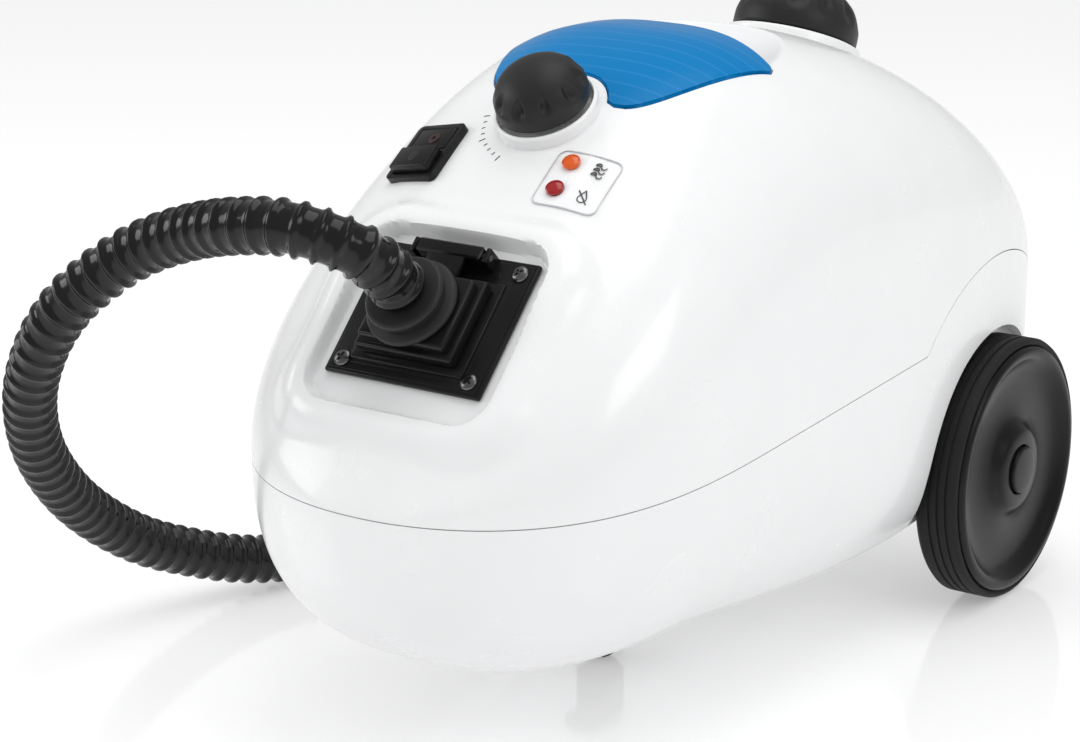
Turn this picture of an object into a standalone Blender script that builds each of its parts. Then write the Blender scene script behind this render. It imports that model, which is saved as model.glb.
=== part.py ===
"""Canister steam cleaner: a moulded egg-shaped body on two rear wheels and a front caster.

Frame: +Z up, floor at z = 0, -Y the nose with the hose socket, +Y the tail with the wheels.
All sizes are in metres.
"""
import math

import bmesh
import bpy
import numpy as np
from mathutils import Matrix, Vector

# ---------------------------------------------------------------- driving dimensions

WALL = 0.0026            # moulded wall of the housings
GAP = 0.0004             # gap between pieces that touch
SLIP = 0.0008            # gap round a piece that moves

# Body shell
NOSE_Y = -0.2512
TAIL_Y = 0.2512
BODY_HALF_WIDTH = 0.119
SEAM_Z = 0.130           # height of the seam at the nose
SEAM_RISE = 0.06         # rise of the seam per metre towards the tail
CROWN_Z = 0.316
KEEL_Z = 0.033
SECTION_TOP = 2.75       # squareness of the section above the seam
SECTION_KEEL = (2.5, 4.6)    # the same below the seam, at the nose and at the tail
BODY_STATIONS = 22
BODY_SIDES = 32

# Wheels
WHEEL_RADIUS = 0.070
WHEEL_WIDTH = 0.027
WHEEL_OUTER_X = 0.133
AXLE_Y = 0.1512
AXLE_RADIUS = 0.005
ARCH_GAP = 0.005         # room round the tyre inside its arch
SEAM_ARCH_RADIUS = 0.115     # radius of the seam above the wheel
CAP_RADIUS = 0.016

# Front caster
CASTER_Y = -0.060
CASTER_WHEEL_RADIUS = 0.012
CASTER_WHEEL_WIDTH = 0.012
CASTER_TRAIL = 0.010
CASTER_PIN_RADIUS = 0.0020
CASTER_STEM_RADIUS = 0.0045

# Hose socket on the nose
SOCKET_Y = -0.1915
SOCKET_TILT = 45.8       # degrees, slope of the plate
SOCKET_RECESS = 0.002
PLATE_SIZE = (0.087, 0.071)
PLATE_THICKNESS = 0.003
PLATE_CORNER = 0.006
POCKET_SIZE = (0.104, 0.096)
POCKET_DROP = 0.004      # the pocket's centre lies this far below the plate's
POCKET_CORNER = 0.017
BROW_HEIGHT = 0.005      # the pocket's rim above the plate's face
PLATE_SCREW = (0.0355, 0.0285)
SCREW_HEAD_RADIUS = 0.0042
SCREW_HEAD_HEIGHT = 0.0022
SCREW_SHANK_RADIUS = 0.0016
SCREW_LENGTH = 0.009
PLATFORM_SIZE = (0.063, 0.050)
PLATFORM_HEIGHT = 0.0022
SOCKET_BORE_RADIUS = 0.014
SOCKET_DEPTH = 0.022
PLUG_SIZE = (0.054, 0.043)
PLUG_HEIGHT = 0.012
PLUG_DROP = 0.003
COLLAR_RADIUS = (0.0225, 0.0185)
COLLAR_HEIGHT = 0.012
LATCH_SIZE = (0.036, 0.0070, 0.0085)
LATCH_TONGUE = (0.020, 0.0125, 0.0028)
LATCH_Y = 0.031          # the latch pin, in the plate's frame
LATCH_Z = 0.0069
LATCH_PIN_RADIUS = 0.0015
EAR_SIZE = (0.0026, 0.0075, 0.0105)

# Hose
HOSE_DIAMETER = 0.027
HOSE_STEP = 0.030        # distance between points of the centre line
HOSE_REST_Z = 0.0138     # height of the hose's centre where it lies on the floor
COIL_CENTRE = (-0.222, 0.370)
COIL_RADIUS = 0.130

# Steam gun on the hose's far end, lying on its side
GUN_X = -0.3288          # where the hose enters the handle
GUN_Y = 0.2833
GUN_HEADING = -70.0      # degrees
GUN_THICKNESS = 0.028
GUN_Z = 0.0150
NOZZLE_RADIUS = 0.0095
TRIGGER_PIVOT = (0.0765, 0.0250)     # in the gun's frame
TRIGGER_TRAVEL = 14.0    # degrees

# Steam dial
DIAL_Y = -0.097
DIAL_RADIUS = 0.0232
DIAL_HEIGHT = 0.029
SEAT_RADIUS = 0.0256
SEAT_HEIGHT = 0.006
SPINDLE_RADIUS = 0.003

# Switch pair
SWITCH_X = -0.052
SWITCH_Y = -0.122
BEZEL_SIZE = (0.031, 0.036)
BEZEL_HEIGHT = 0.0025
BUTTON_SIZE = (0.0235, 0.0135)
BUTTON_PITCH = 0.0158
BUTTON_TRAVEL = 0.004

# Indicator panel
PANEL_X = 0.037
PANEL_Y = -0.127
PANEL_SIZE = 0.034
PANEL_THICKNESS = 0.0008
LENS_RADIUS = 0.0042
LENS_PITCH = 0.0165
LENS_OFFSET = -0.0075

# Tank lid
LID_HALF_WIDTH = 0.070
LID_FRONT_HALF_WIDTH = 0.0292
LID_FRONT_Y = -0.086
LID_TIP_Y = -0.012
LID_REAR_Y = 0.004
LID_THICKNESS = 0.0026
LID_PROUD = 0.0010
LID_HINGE_Y = -0.048
LID_HINGE_DROP = 0.0100
HINGE_PIN_RADIUS = 0.0016
HINGE_HALF_SPAN = 0.0290
SCOOP_REAR_Y = 0.060
SCOOP_HALF_WIDTH = 0.079
SCOOP_DEPTH = 0.017

# Water tank under the lid
TANK_SIZE = (0.150, 0.080, 0.105)
TANK_Y = -0.012
TANK_TOP_Z = 0.262
TANK_WALL = 0.0025
FILLER_RADIUS = 0.026

# Boiler and its cap
BOILER_Y = 0.108
BOILER_RADIUS = 0.056
BOILER_Z = (0.096, 0.214)
NECK_RADIUS = 0.016
CAP_NECK_SINK = 0.005    # how far the neck runs into the boiler
CAP_Y = 0.130
CAP_DOME_RADIUS = 0.0335
CAP_DOME_HEIGHT = 0.031
CAP_SEAT_RADIUS = 0.0365
CAP_SEAT_HEIGHT = 0.004

# ---------------------------------------------------------------- scene and helpers

for stale in list(bpy.data.objects):
    bpy.data.objects.remove(stale, do_unlink=True)

PARTS = bpy.data.collections.new("steam_cleaner")
CUTTERS = bpy.data.collections.new("cutters")
bpy.context.scene.collection.children.link(PARTS)
bpy.context.scene.collection.children.link(CUTTERS)


def material(name, color, roughness, metallic=0.0, alpha=1.0):
    """A Principled material with the given colour (linear RGB)."""
    made = bpy.data.materials.new(name)
    made.use_nodes = True
    shader = made.node_tree.nodes["Principled BSDF"]
    shader.inputs["Base Color"].default_value = (*color, 1.0)
    shader.inputs["Roughness"].default_value = roughness
    shader.inputs["Metallic"].default_value = metallic
    shader.inputs["Alpha"].default_value = alpha
    return made


WHITE = material("white_gloss", (0.86, 0.86, 0.85), 0.15)
BLACK = material("black_gloss", (0.012, 0.012, 0.013), 0.18)
SOFT_BLACK = material("soft_black", (0.025, 0.025, 0.026), 0.5)
TYRE = material("tyre_black", (0.010, 0.010, 0.010), 0.35)
BLUE = material("blue_lid", (0.0, 0.20, 0.62), 0.12)
RED = material("red_lens", (0.5, 0.02, 0.01), 0.1)
AMBER = material("amber_lens", (0.9, 0.25, 0.02), 0.1)
STEEL = material("steel", (0.55, 0.55, 0.56), 0.3, 1.0)
BRASS = material("brass", (0.70, 0.48, 0.20), 0.35, 1.0)
TANK = material("tank_plastic", (0.75, 0.78, 0.80), 0.4)
SILICONE = material("silicone", (0.80, 0.78, 0.72), 0.5)
BOARD = material("circuit_board", (0.02, 0.22, 0.08), 0.5)


def own(obj, mat, parent=None, smooth=35.0):
    """Put an object in the parts collection with its material and parent."""
    for holder in list(obj.users_collection):
        holder.objects.unlink(obj)
    PARTS.objects.link(obj)
    obj.data.materials.clear()
    obj.data.materials.append(mat)
    if obj.type == "MESH":
        obj.data.shade_smooth()
        obj.data.set_sharp_from_angle(angle=math.radians(smooth))
    if parent is not None:
        obj.parent = parent
    return obj


def as_cutter(obj, parent=None):
    """Make an object a cutter, which the build leaves out."""
    for holder in list(obj.users_collection):
        holder.objects.unlink(obj)
    CUTTERS.objects.link(obj)
    obj.hide_render = True
    obj.display_type = "WIRE"
    if parent is not None:
        obj.parent = parent
    return obj


def frame(name, origin, z_axis=(0, 0, 1), x_axis=(1, 0, 0)):
    """An empty whose local Z is z_axis and whose local X lies near x_axis."""
    up = Vector(z_axis).normalized()
    side = Vector(x_axis) - up * Vector(x_axis).dot(up)
    side.normalize()
    depth = up.cross(side)
    empty = bpy.data.objects.new(name, None)
    CUTTERS.objects.link(empty)
    basis = Matrix((side, depth, up)).transposed().to_4x4()
    empty.matrix_world = Matrix.Translation(Vector(origin)) @ basis
    return empty


def mesh_object(name, bm):
    """A mesh object from a bmesh, which is freed."""
    mesh = bpy.data.meshes.new(name)
    bm.to_mesh(mesh)
    bm.free()
    obj = bpy.data.objects.new(name, mesh)
    bpy.context.scene.collection.objects.link(obj)
    return obj


def box(name, size, centre=(0, 0, 0), corner=0.0, edge=0.0, segments=4):
    """A box, with its upright edges rounded to corner and then all its edges to edge."""
    bm = bmesh.new()
    bmesh.ops.create_cube(bm, size=1.0)
    bmesh.ops.scale(bm, vec=size, verts=bm.verts)
    if corner:
        upright = [e for e in bm.edges if abs(e.verts[0].co.z - e.verts[1].co.z) > size[2] * 0.5]
        bmesh.ops.bevel(bm, geom=upright, offset=corner, segments=segments, profile=0.5,
                        affect="EDGES")
    bmesh.ops.translate(bm, vec=centre, verts=bm.verts)
    obj = mesh_object(name, bm)
    if edge:
        bevel = obj.modifiers.new("edge", "BEVEL")
        bevel.width = edge
        bevel.segments = 1
        bevel.limit_method = "ANGLE"
        bevel.angle_limit = math.radians(40)
    return obj


def rod(name, radius, start, end, segments=20):
    """A cylinder between two points."""
    first, last = Vector(start), Vector(end)
    run = last - first
    bm = bmesh.new()
    bmesh.ops.create_cone(bm, cap_ends=True, segments=segments, radius1=radius, radius2=radius,
                          depth=run.length)
    turn = Vector((0, 0, 1)).rotation_difference(run).to_matrix().to_4x4()
    bm.transform(Matrix.Translation((first + last) / 2) @ turn)
    return mesh_object(name, bm)


def turned(name, profile, steps=32, axis="Z"):
    """A turned piece: (radius, height) points down the outer side, top to bottom."""
    mesh = bpy.data.meshes.new(name)
    points = [(radius, 0.0, height) for radius, height in profile]
    mesh.from_pydata(points, [(i, i + 1) for i in range(len(points) - 1)], [])
    obj = bpy.data.objects.new(name, mesh)
    bpy.context.scene.collection.objects.link(obj)
    screw = obj.modifiers.new("turn", "SCREW")
    screw.axis = axis
    screw.steps = steps
    screw.render_steps = steps
    screw.use_merge_vertices = True
    screw.merge_threshold = 0.00005
    return obj


def boolean(obj, other, operation="DIFFERENCE"):
    """Cut, join or keep the common part with another object."""
    step = obj.modifiers.new(operation.lower(), "BOOLEAN")
    step.operation = operation
    step.object = other
    step.solver = "EXACT"
    return obj


def placed(obj, location=(0, 0, 0), rotation=(0, 0, 0)):
    """Set an object's place under its parent."""
    obj.location = location
    obj.rotation_euler = [math.radians(angle) for angle in rotation]
    return obj


# ---------------------------------------------------------------- the body's surface

# Each outline: where it peaks, then power and root of its fall to the nose and to the tail.
PLAN = (-0.0698, 3.4, 2.05, 6.5, 4.0)
CROWN = (-0.0168, 1.56, 1.14, 2.0, 1.8)
KEEL = (-0.0858, 3.1, 2.9, 5.0, 2.5)


def swell(y, outline):
    """Share of its full size that an outline has at y, from 0 at the ends to 1."""
    peak, front_power, front_root, rear_power, rear_root = outline
    if y < peak:
        share = min(1.0, (peak - y) / (peak - NOSE_Y))
        return max(0.0, 1.0 - share ** front_power) ** (1.0 / front_root)
    share = min(1.0, (y - peak) / (TAIL_Y - peak))
    return max(0.0, 1.0 - share ** rear_power) ** (1.0 / rear_root)


def widest_z(y):
    """Height at which the section at y is widest, where the seam runs."""
    return SEAM_Z + SEAM_RISE * (y - NOSE_Y)


def section(y):
    """Half width, height of the widest line, top and bottom of the section at y."""
    middle = widest_z(y)
    return (BODY_HALF_WIDTH * swell(y, PLAN), middle,
            middle + (CROWN_Z - middle) * swell(y, CROWN),
            middle - (middle - KEEL_Z) * swell(y, KEEL))


def keel_squareness(y):
    """Squareness of the lower half of the section, which grows towards the wheels."""
    share = min(1.0, max(0.0, (y + 0.12) / 0.20))
    share = share * share * (3 - 2 * share)
    return SECTION_KEEL[0] + (SECTION_KEEL[1] - SECTION_KEEL[0]) * share


def top_z(x, y, proud=0.0):
    """Height of the body's upper surface over a point of the plan."""
    half, middle, top, _ = section(y)
    share = min(1.0, abs(x) / max(half, 1e-6))
    return middle + (top - middle) * (1.0 - share ** SECTION_TOP) ** (1.0 / SECTION_TOP) + proud


def surface_frame(name, x, y, sink=0.0):
    """A frame on the upper surface with its Z axis along the outward normal."""
    step = 0.002
    slope_x = (top_z(x + step, y) - top_z(x - step, y)) / (2 * step)
    slope_y = (top_z(x, y + step) - top_z(x, y - step)) / (2 * step)
    normal = Vector((-slope_x, -slope_y, 1.0)).normalized()
    return frame(name, Vector((x, y, top_z(x, y))) - normal * sink, normal)


def body_solid(name, inset=0.0):
    """The closed body form, moved inwards by inset, as a loft of unlike sections."""
    bm = bmesh.new()
    middle_y = (NOSE_Y + TAIL_Y) / 2
    half_length = (TAIL_Y - NOSE_Y) / 2
    shrink = (half_length - inset) / half_length
    rings = []
    for index in range(1, BODY_STATIONS):
        y = middle_y - half_length * math.cos(math.pi * index / BODY_STATIONS)
        half, middle, top, bottom = section(y)
        half -= inset
        up, down = top - middle - inset, middle - bottom - inset
        ring = []
        for side in range(BODY_SIDES):
            angle = 2 * math.pi * side / BODY_SIDES
            square = SECTION_TOP if math.sin(angle) >= 0 else keel_squareness(y)
            across = math.copysign(abs(math.cos(angle)) ** (2 / square), math.cos(angle))
            rise = math.copysign(abs(math.sin(angle)) ** (2 / square), math.sin(angle))
            height = middle + (up if rise >= 0 else down) * rise
            ring.append(bm.verts.new((half * across, middle_y + (y - middle_y) * shrink, height)))
        rings.append(ring)
    for near, far in zip(rings, rings[1:]):
        for side in range(BODY_SIDES):
            after = (side + 1) % BODY_SIDES
            bm.faces.new((near[side], near[after], far[after], far[side]))
    for ring, end_y in ((rings[0], NOSE_Y + inset), (rings[-1], TAIL_Y - inset)):
        pole = bm.verts.new((0.0, end_y, widest_z(end_y)))
        for side in range(BODY_SIDES):
            bm.faces.new((ring[side], ring[(side + 1) % BODY_SIDES], pole))
    bmesh.ops.recalc_face_normals(bm, faces=bm.faces)
    return mesh_object(name, bm)


def seam_line(shift):
    """The seam in the side view: a gentle rise, an arc over the wheel and a level tail."""
    points = [(NOSE_Y - 0.05, widest_z(NOSE_Y - 0.05) + shift)]
    arc_top = SEAM_ARCH_RADIUS
    kink_z = widest_z(AXLE_Y - 0.085)
    reach = math.sqrt(arc_top ** 2 - (kink_z - WHEEL_RADIUS) ** 2)
    start = math.atan2(kink_z - WHEEL_RADIUS, -reach)
    finish = math.pi - start
    for index in range(13):
        angle = start + (finish - start) * index / 12
        points.append((AXLE_Y + arc_top * math.cos(angle),
                       WHEEL_RADIUS + arc_top * math.sin(angle) + shift))
    points.append((TAIL_Y + 0.05, kink_z + shift))
    return points


def side_block(name, outline, half_width=0.20):
    """A block whose side view is the outline of (y, z) points."""
    curve = bpy.data.curves.new(name, "CURVE")
    curve.dimensions = "2D"
    curve.fill_mode = "BOTH"
    curve.extrude = half_width
    spline = curve.splines.new("POLY")
    spline.points.add(len(outline) - 1)
    for point, (y, z) in zip(spline.points, outline):
        point.co = (y, z, 0.0, 1.0)
    spline.use_cyclic_u = True
    source = bpy.data.objects.new(name, curve)
    bpy.context.scene.collection.objects.link(source)
    source.matrix_world = Matrix(((0, 0, 1, 0), (1, 0, 0, 0), (0, 1, 0, 0), (0, 0, 0, 1)))
    return solidified_curve(source)


def solidified_curve(source):
    """The welded mesh of a curve object, which is removed."""
    bpy.context.view_layer.update()
    name = source.name
    evaluated = source.evaluated_get(bpy.context.evaluated_depsgraph_get())
    mesh = bpy.data.meshes.new_from_object(evaluated)
    place = source.matrix_world.copy()
    bpy.data.objects.remove(source, do_unlink=True)
    bm = bmesh.new()
    bm.from_mesh(mesh)
    bmesh.ops.remove_doubles(bm, verts=bm.verts, dist=0.00005)
    bmesh.ops.recalc_face_normals(bm, faces=bm.faces)
    bm.to_mesh(mesh)
    bm.free()
    obj = bpy.data.objects.new(name, mesh)
    bpy.context.scene.collection.objects.link(obj)
    obj.matrix_world = place
    return obj


def plan_block(name, outline, low, high):
    """An upright block from an outline of (x, y) points."""
    curve = bpy.data.curves.new(name, "CURVE")
    curve.dimensions = "2D"
    curve.fill_mode = "BOTH"
    curve.extrude = (high - low) / 2
    spline = curve.splines.new("POLY")
    spline.points.add(len(outline) - 1)
    for point, (x, y) in zip(spline.points, outline):
        point.co = (x, y, 0.0, 1.0)
    spline.use_cyclic_u = True
    source = bpy.data.objects.new(name, curve)
    bpy.context.scene.collection.objects.link(source)
    source.matrix_world = Matrix.Translation((0, 0, (low + high) / 2))
    return solidified_curve(source)


# ---------------------------------------------------------------- frames on the body

SOCKET_SLOPE = math.radians(SOCKET_TILT)
SOCKET_NORMAL = Vector((0, -math.sin(SOCKET_SLOPE), math.cos(SOCKET_SLOPE)))
SOCKET_ORIGIN = Vector((0, SOCKET_Y, top_z(0, SOCKET_Y))) - SOCKET_NORMAL * SOCKET_RECESS
socket_frame = frame("socket_frame", SOCKET_ORIGIN, SOCKET_NORMAL)
dial_frame = surface_frame("dial_frame", 0.0, DIAL_Y)
switch_frame = surface_frame("switch_frame", SWITCH_X, SWITCH_Y)
panel_frame = surface_frame("panel_frame", PANEL_X, PANEL_Y)
cap_frame = surface_frame("cap_frame", 0.0, CAP_Y)
HINGE_Z = top_z(0, LID_HINGE_Y) - LID_HINGE_DROP
lid_frame = frame("lid_frame", (0, LID_HINGE_Y, HINGE_Z))
bpy.context.view_layer.update()


# ---------------------------------------------------------------- lid and scoop outlines

def lid_outline(grow=0.0):
    """Plan outline of the lid: curved sides, a hollow round the dial and a bowed rear edge."""
    right = []
    hollow = SEAT_RADIUS + 0.0028 - grow
    centre = dial_frame.matrix_world.translation
    for index in range(5):
        angle = math.radians(16 * index)
        right.append((hollow * math.sin(angle), centre.y + hollow * math.cos(angle)))
    right.append((LID_FRONT_HALF_WIDTH + grow, LID_FRONT_Y - grow))
    span_y = LID_TIP_Y - LID_FRONT_Y
    for index in range(1, 8):
        share = index / 8
        across = LID_FRONT_HALF_WIDTH + (LID_HALF_WIDTH - LID_FRONT_HALF_WIDTH) * share ** 0.62
        right.append((across + grow, LID_FRONT_Y - grow * (1 - share) + span_y * share ** 1.35))
    right.append((LID_HALF_WIDTH + grow, LID_TIP_Y))
    right.append((LID_HALF_WIDTH * 0.975 + grow, LID_TIP_Y + 0.004 + grow))
    for index in range(1, 6):
        share = index / 6
        across = LID_HALF_WIDTH * 0.975 * (1 - share)
        right.append((across, LID_REAR_Y - (LID_REAR_Y - LID_TIP_Y - 0.004) * (1 - share) ** 2
                      + grow))
    outline = right[1:] + [(0.0, LID_REAR_Y + grow)]
    left = [(-x, y) for x, y in reversed(right[1:])]
    return [right[0]] + outline + left


# ---------------------------------------------------------------- housings

def wheel_well(name, side, grow):
    """The round space of one wheel arch, grown by a wall when it is kept from the void."""
    inner = WHEEL_OUTER_X - WHEEL_WIDTH - 0.0025 - grow
    return rod(name, WHEEL_RADIUS + ARCH_GAP + grow, (side * inner, AXLE_Y, WHEEL_RADIUS),
               (side * 0.20, AXLE_Y, WHEEL_RADIUS), segments=48)


def pocket_block(name, grow, floor, top):
    """The rounded block of the socket pocket in the socket's frame."""
    size = (POCKET_SIZE[0] + 2 * grow, POCKET_SIZE[1] + 2 * grow, top - floor)
    obj = box(name, size, (0, -POCKET_DROP, (top + floor) / 2), corner=POCKET_CORNER + grow)
    return as_cutter(obj, socket_frame)


def scoop_bowl(name, grow):
    """The finger scoop behind the lid: a shallow ellipsoid bowl."""
    bm = bmesh.new()
    bmesh.ops.create_uvsphere(bm, u_segments=32, v_segments=16, radius=1.0)
    bmesh.ops.scale(bm, vec=(SCOOP_HALF_WIDTH + grow, SCOOP_REAR_Y + 0.020 + grow,
                             SCOOP_DEPTH + 0.008 + grow), verts=bm.verts)
    bmesh.ops.translate(bm, vec=(0, -0.020, top_z(0, 0.010) + 0.002), verts=bm.verts)
    return as_cutter(mesh_object(name, bm))


def shell_void(name):
    """The hollow inside the housings, less the walls of its pockets and wells."""
    void = as_cutter(body_solid(name, WALL))
    for side, label in ((-1, "left"), (1, "right")):
        boolean(void, as_cutter(wheel_well(f"{label}_well_wall", side, WALL)))
    boolean(void, pocket_block("pocket_wall", WALL, -PLATE_THICKNESS - GAP - WALL, 0.05))
    boolean(void, scoop_bowl("scoop_wall", WALL))
    return void


def build_upper_housing(void):
    """The top shell, with the socket pocket, lid opening, scoop and bores."""
    shell = own(body_solid("upper_housing"), WHITE)
    brow = pocket_block("pocket_brow", WALL, -0.020, BROW_HEIGHT)
    boolean(shell, brow, "UNION")
    boolean(shell, void)
    below = [(NOSE_Y - 0.05, -0.1)] + seam_line(GAP / 2) + [(TAIL_Y + 0.05, -0.1)]
    boolean(shell, as_cutter(side_block("below_seam", below)))
    boolean(shell, pocket_block("pocket_space", 0.0, -PLATE_THICKNESS - GAP, 0.06))
    boolean(shell, scoop_bowl("scoop_space", 0.0))
    boolean(shell, as_cutter(plan_block("lid_opening", lid_outline(SLIP), 0.225, 0.36)))
    socket_hole = rod("socket_hole", SOCKET_BORE_RADIUS + 0.004, (0, 0, -0.03), (0, 0, 0.03))
    boolean(shell, as_cutter(socket_hole, socket_frame))
    for name, holder, radius in (("spindle_hole", dial_frame, SPINDLE_RADIUS + SLIP),
                                 ("neck_hole", cap_frame, NECK_RADIUS + 0.001)):
        boolean(shell, as_cutter(rod(name, radius, (0, 0, -0.02), (0, 0, 0.02)), holder))
    switch_hole = box("switch_hole", (BEZEL_SIZE[0] - 0.004, BEZEL_SIZE[1] - 0.004, 0.04))
    boolean(shell, as_cutter(switch_hole, switch_frame))
    return shell


def build_lower_housing(void):
    """The bottom shell with its wheel arches, caster bore and screw bores."""
    shell = own(body_solid("lower_housing"), WHITE)
    boolean(shell, void)
    above = [(NOSE_Y - 0.05, 0.5)] + seam_line(-GAP / 2) + [(TAIL_Y + 0.05, 0.5)]
    boolean(shell, as_cutter(side_block("above_seam", above)))
    for side, label in ((-1, "left"), (1, "right")):
        boolean(shell, as_cutter(wheel_well(f"{label}_well_space", side, 0.0)))
    axle_hole = rod("axle_hole", AXLE_RADIUS + 0.0003, (-0.2, AXLE_Y, WHEEL_RADIUS),
                    (0.2, AXLE_Y, WHEEL_RADIUS))
    boolean(shell, as_cutter(axle_hole))
    stem_hole = rod("stem_hole", CASTER_STEM_RADIUS + 0.0004, (0, CASTER_Y, 0.0),
                    (0, CASTER_Y, 0.06))
    boolean(shell, as_cutter(stem_hole))
    return shell


# ---------------------------------------------------------------- socket, plug and hose

def build_socket():
    """The black plate on the nose, its screws and the steam outlet behind it."""
    plate = own(box("socket_plate", (*PLATE_SIZE, PLATE_THICKNESS), (0, 0, -PLATE_THICKNESS / 2),
                    corner=PLATE_CORNER), BLACK, socket_frame)
    platform = box("platform", (*PLATFORM_SIZE, PLATFORM_HEIGHT + 0.001),
                   (0, -PLUG_DROP, (PLATFORM_HEIGHT - 0.001) / 2), corner=0.008)
    boolean(plate, as_cutter(platform, socket_frame), "UNION")
    for side in (-1, 1):
        ear = box(f"latch_ear_{side}", (EAR_SIZE[0], EAR_SIZE[1], EAR_SIZE[2] + 0.001),
                  (side * (LATCH_SIZE[0] / 2 + SLIP + EAR_SIZE[0] / 2), LATCH_Y,
                   (EAR_SIZE[2] - 0.001) / 2))
        boolean(plate, as_cutter(ear, socket_frame), "UNION")
    pin_hole = rod("ear_hole", LATCH_PIN_RADIUS + 0.0003, (-0.03, 0, 0), (0.03, 0, 0), 16)
    placed(pin_hole, (0, LATCH_Y, LATCH_Z))
    boolean(plate, as_cutter(pin_hole, socket_frame))
    bore = rod("plate_bore", SOCKET_BORE_RADIUS - 0.003, (0, -PLUG_DROP, -0.02),
               (0, -PLUG_DROP, 0.02))
    boolean(plate, as_cutter(bore, socket_frame))
    for index, (side, rise) in enumerate(((-1, 1), (1, 1), (1, -1), (-1, -1)), start=1):
        place = (side * PLATE_SCREW[0], rise * PLATE_SCREW[1])
        hole = rod(f"screw_hole_{index}", SCREW_SHANK_RADIUS + 0.0004, (*place, -0.02),
                   (*place, 0.02), segments=12)
        as_cutter(hole, socket_frame)
        boolean(plate, hole)
        boolean(bpy.data.objects["upper_housing"], hole)
        screw = rod(f"plate_screw_{index}", SCREW_SHANK_RADIUS,
                    (*place, GAP - SCREW_LENGTH), (*place, GAP + 0.001), segments=12)
        head = rod(f"screw_head_{index}", SCREW_HEAD_RADIUS, (*place, GAP),
                   (*place, GAP + SCREW_HEAD_HEIGHT), segments=20)
        boolean(screw, as_cutter(head, socket_frame), "UNION")
        for turn in (0, 90):
            slot = box(f"screw_slot_{index}_{turn}", (0.0045, 0.0010, 0.0024),
                       (0, 0, 0))
            as_cutter(slot, socket_frame)
            placed(slot, (*place, GAP + SCREW_HEAD_HEIGHT), (0, 0, turn + 20))
            boolean(screw, slot)
        own(screw, SOFT_BLACK, socket_frame)
    outlet = turned("socket_body", [(SOCKET_BORE_RADIUS - 0.005, -PLATE_THICKNESS - GAP),
                                    (SOCKET_BORE_RADIUS, -PLATE_THICKNESS - GAP),
                                    (SOCKET_BORE_RADIUS, -PLATE_THICKNESS - SOCKET_DEPTH),
                                    (0.0, -PLATE_THICKNESS - SOCKET_DEPTH),
                                    (0.0, -PLATE_THICKNESS - 0.008),
                                    (SOCKET_BORE_RADIUS - 0.005, -PLATE_THICKNESS - 0.008),
                                    (SOCKET_BORE_RADIUS - 0.005, -PLATE_THICKNESS - GAP)], 20)
    own(outlet, BRASS, socket_frame)


def build_plug():
    """The hose's plug: a rounded flange block, its rubber collar and the spring latch."""
    base = PLATFORM_HEIGHT + GAP
    plug = own(box("hose_plug", (*PLUG_SIZE, PLUG_HEIGHT), (0, -PLUG_DROP, base + PLUG_HEIGHT / 2),
                   corner=0.009, edge=0.0015), BLACK, socket_frame)
    top = base + PLUG_HEIGHT + GAP
    collar = turned("plug_collar", [(0.0, top + COLLAR_HEIGHT),
                                    (COLLAR_RADIUS[1], top + COLLAR_HEIGHT),
                                    (COLLAR_RADIUS[0], top + 0.003), (COLLAR_RADIUS[0], top),
                                    (0.0, top)], 24)
    own(placed(collar, (0, -PLUG_DROP, 0)), SOFT_BLACK, socket_frame)
    notch = box("latch_notch", (LATCH_TONGUE[0] + 0.0015, 0.006, 0.012),
                (0, PLUG_SIZE[1] / 2 - PLUG_DROP, LATCH_Z + 0.0055))
    boolean(plug, as_cutter(notch, socket_frame))
    latch = box("plug_latch", LATCH_SIZE, (0, 0, 0), edge=0.001)
    tongue = box("latch_tongue", LATCH_TONGUE,
                 (0, -(LATCH_SIZE[1] + LATCH_TONGUE[1]) / 2 + 0.0010, 0.0020))
    boolean(latch, as_cutter(tongue), "UNION")
    placed(tongue, (0, LATCH_Y, LATCH_Z))
    tongue.parent = socket_frame
    latch_hole = rod("latch_pin_hole", LATCH_PIN_RADIUS + 0.0003, (-0.03, 0, 0), (0.03, 0, 0), 16)
    boolean(latch, as_cutter(latch_hole))
    placed(latch_hole, (0, LATCH_Y, LATCH_Z))
    latch_hole.parent = socket_frame
    own(placed(latch, (0, LATCH_Y, LATCH_Z)), BLACK, socket_frame)
    reach = LATCH_SIZE[0] / 2 + SLIP + EAR_SIZE[0]
    pin = rod("latch_pin", LATCH_PIN_RADIUS, (-reach, 0, 0), (reach, 0, 0), 16)
    own(placed(pin, (0, LATCH_Y, LATCH_Z)), STEEL, socket_frame)


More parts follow.
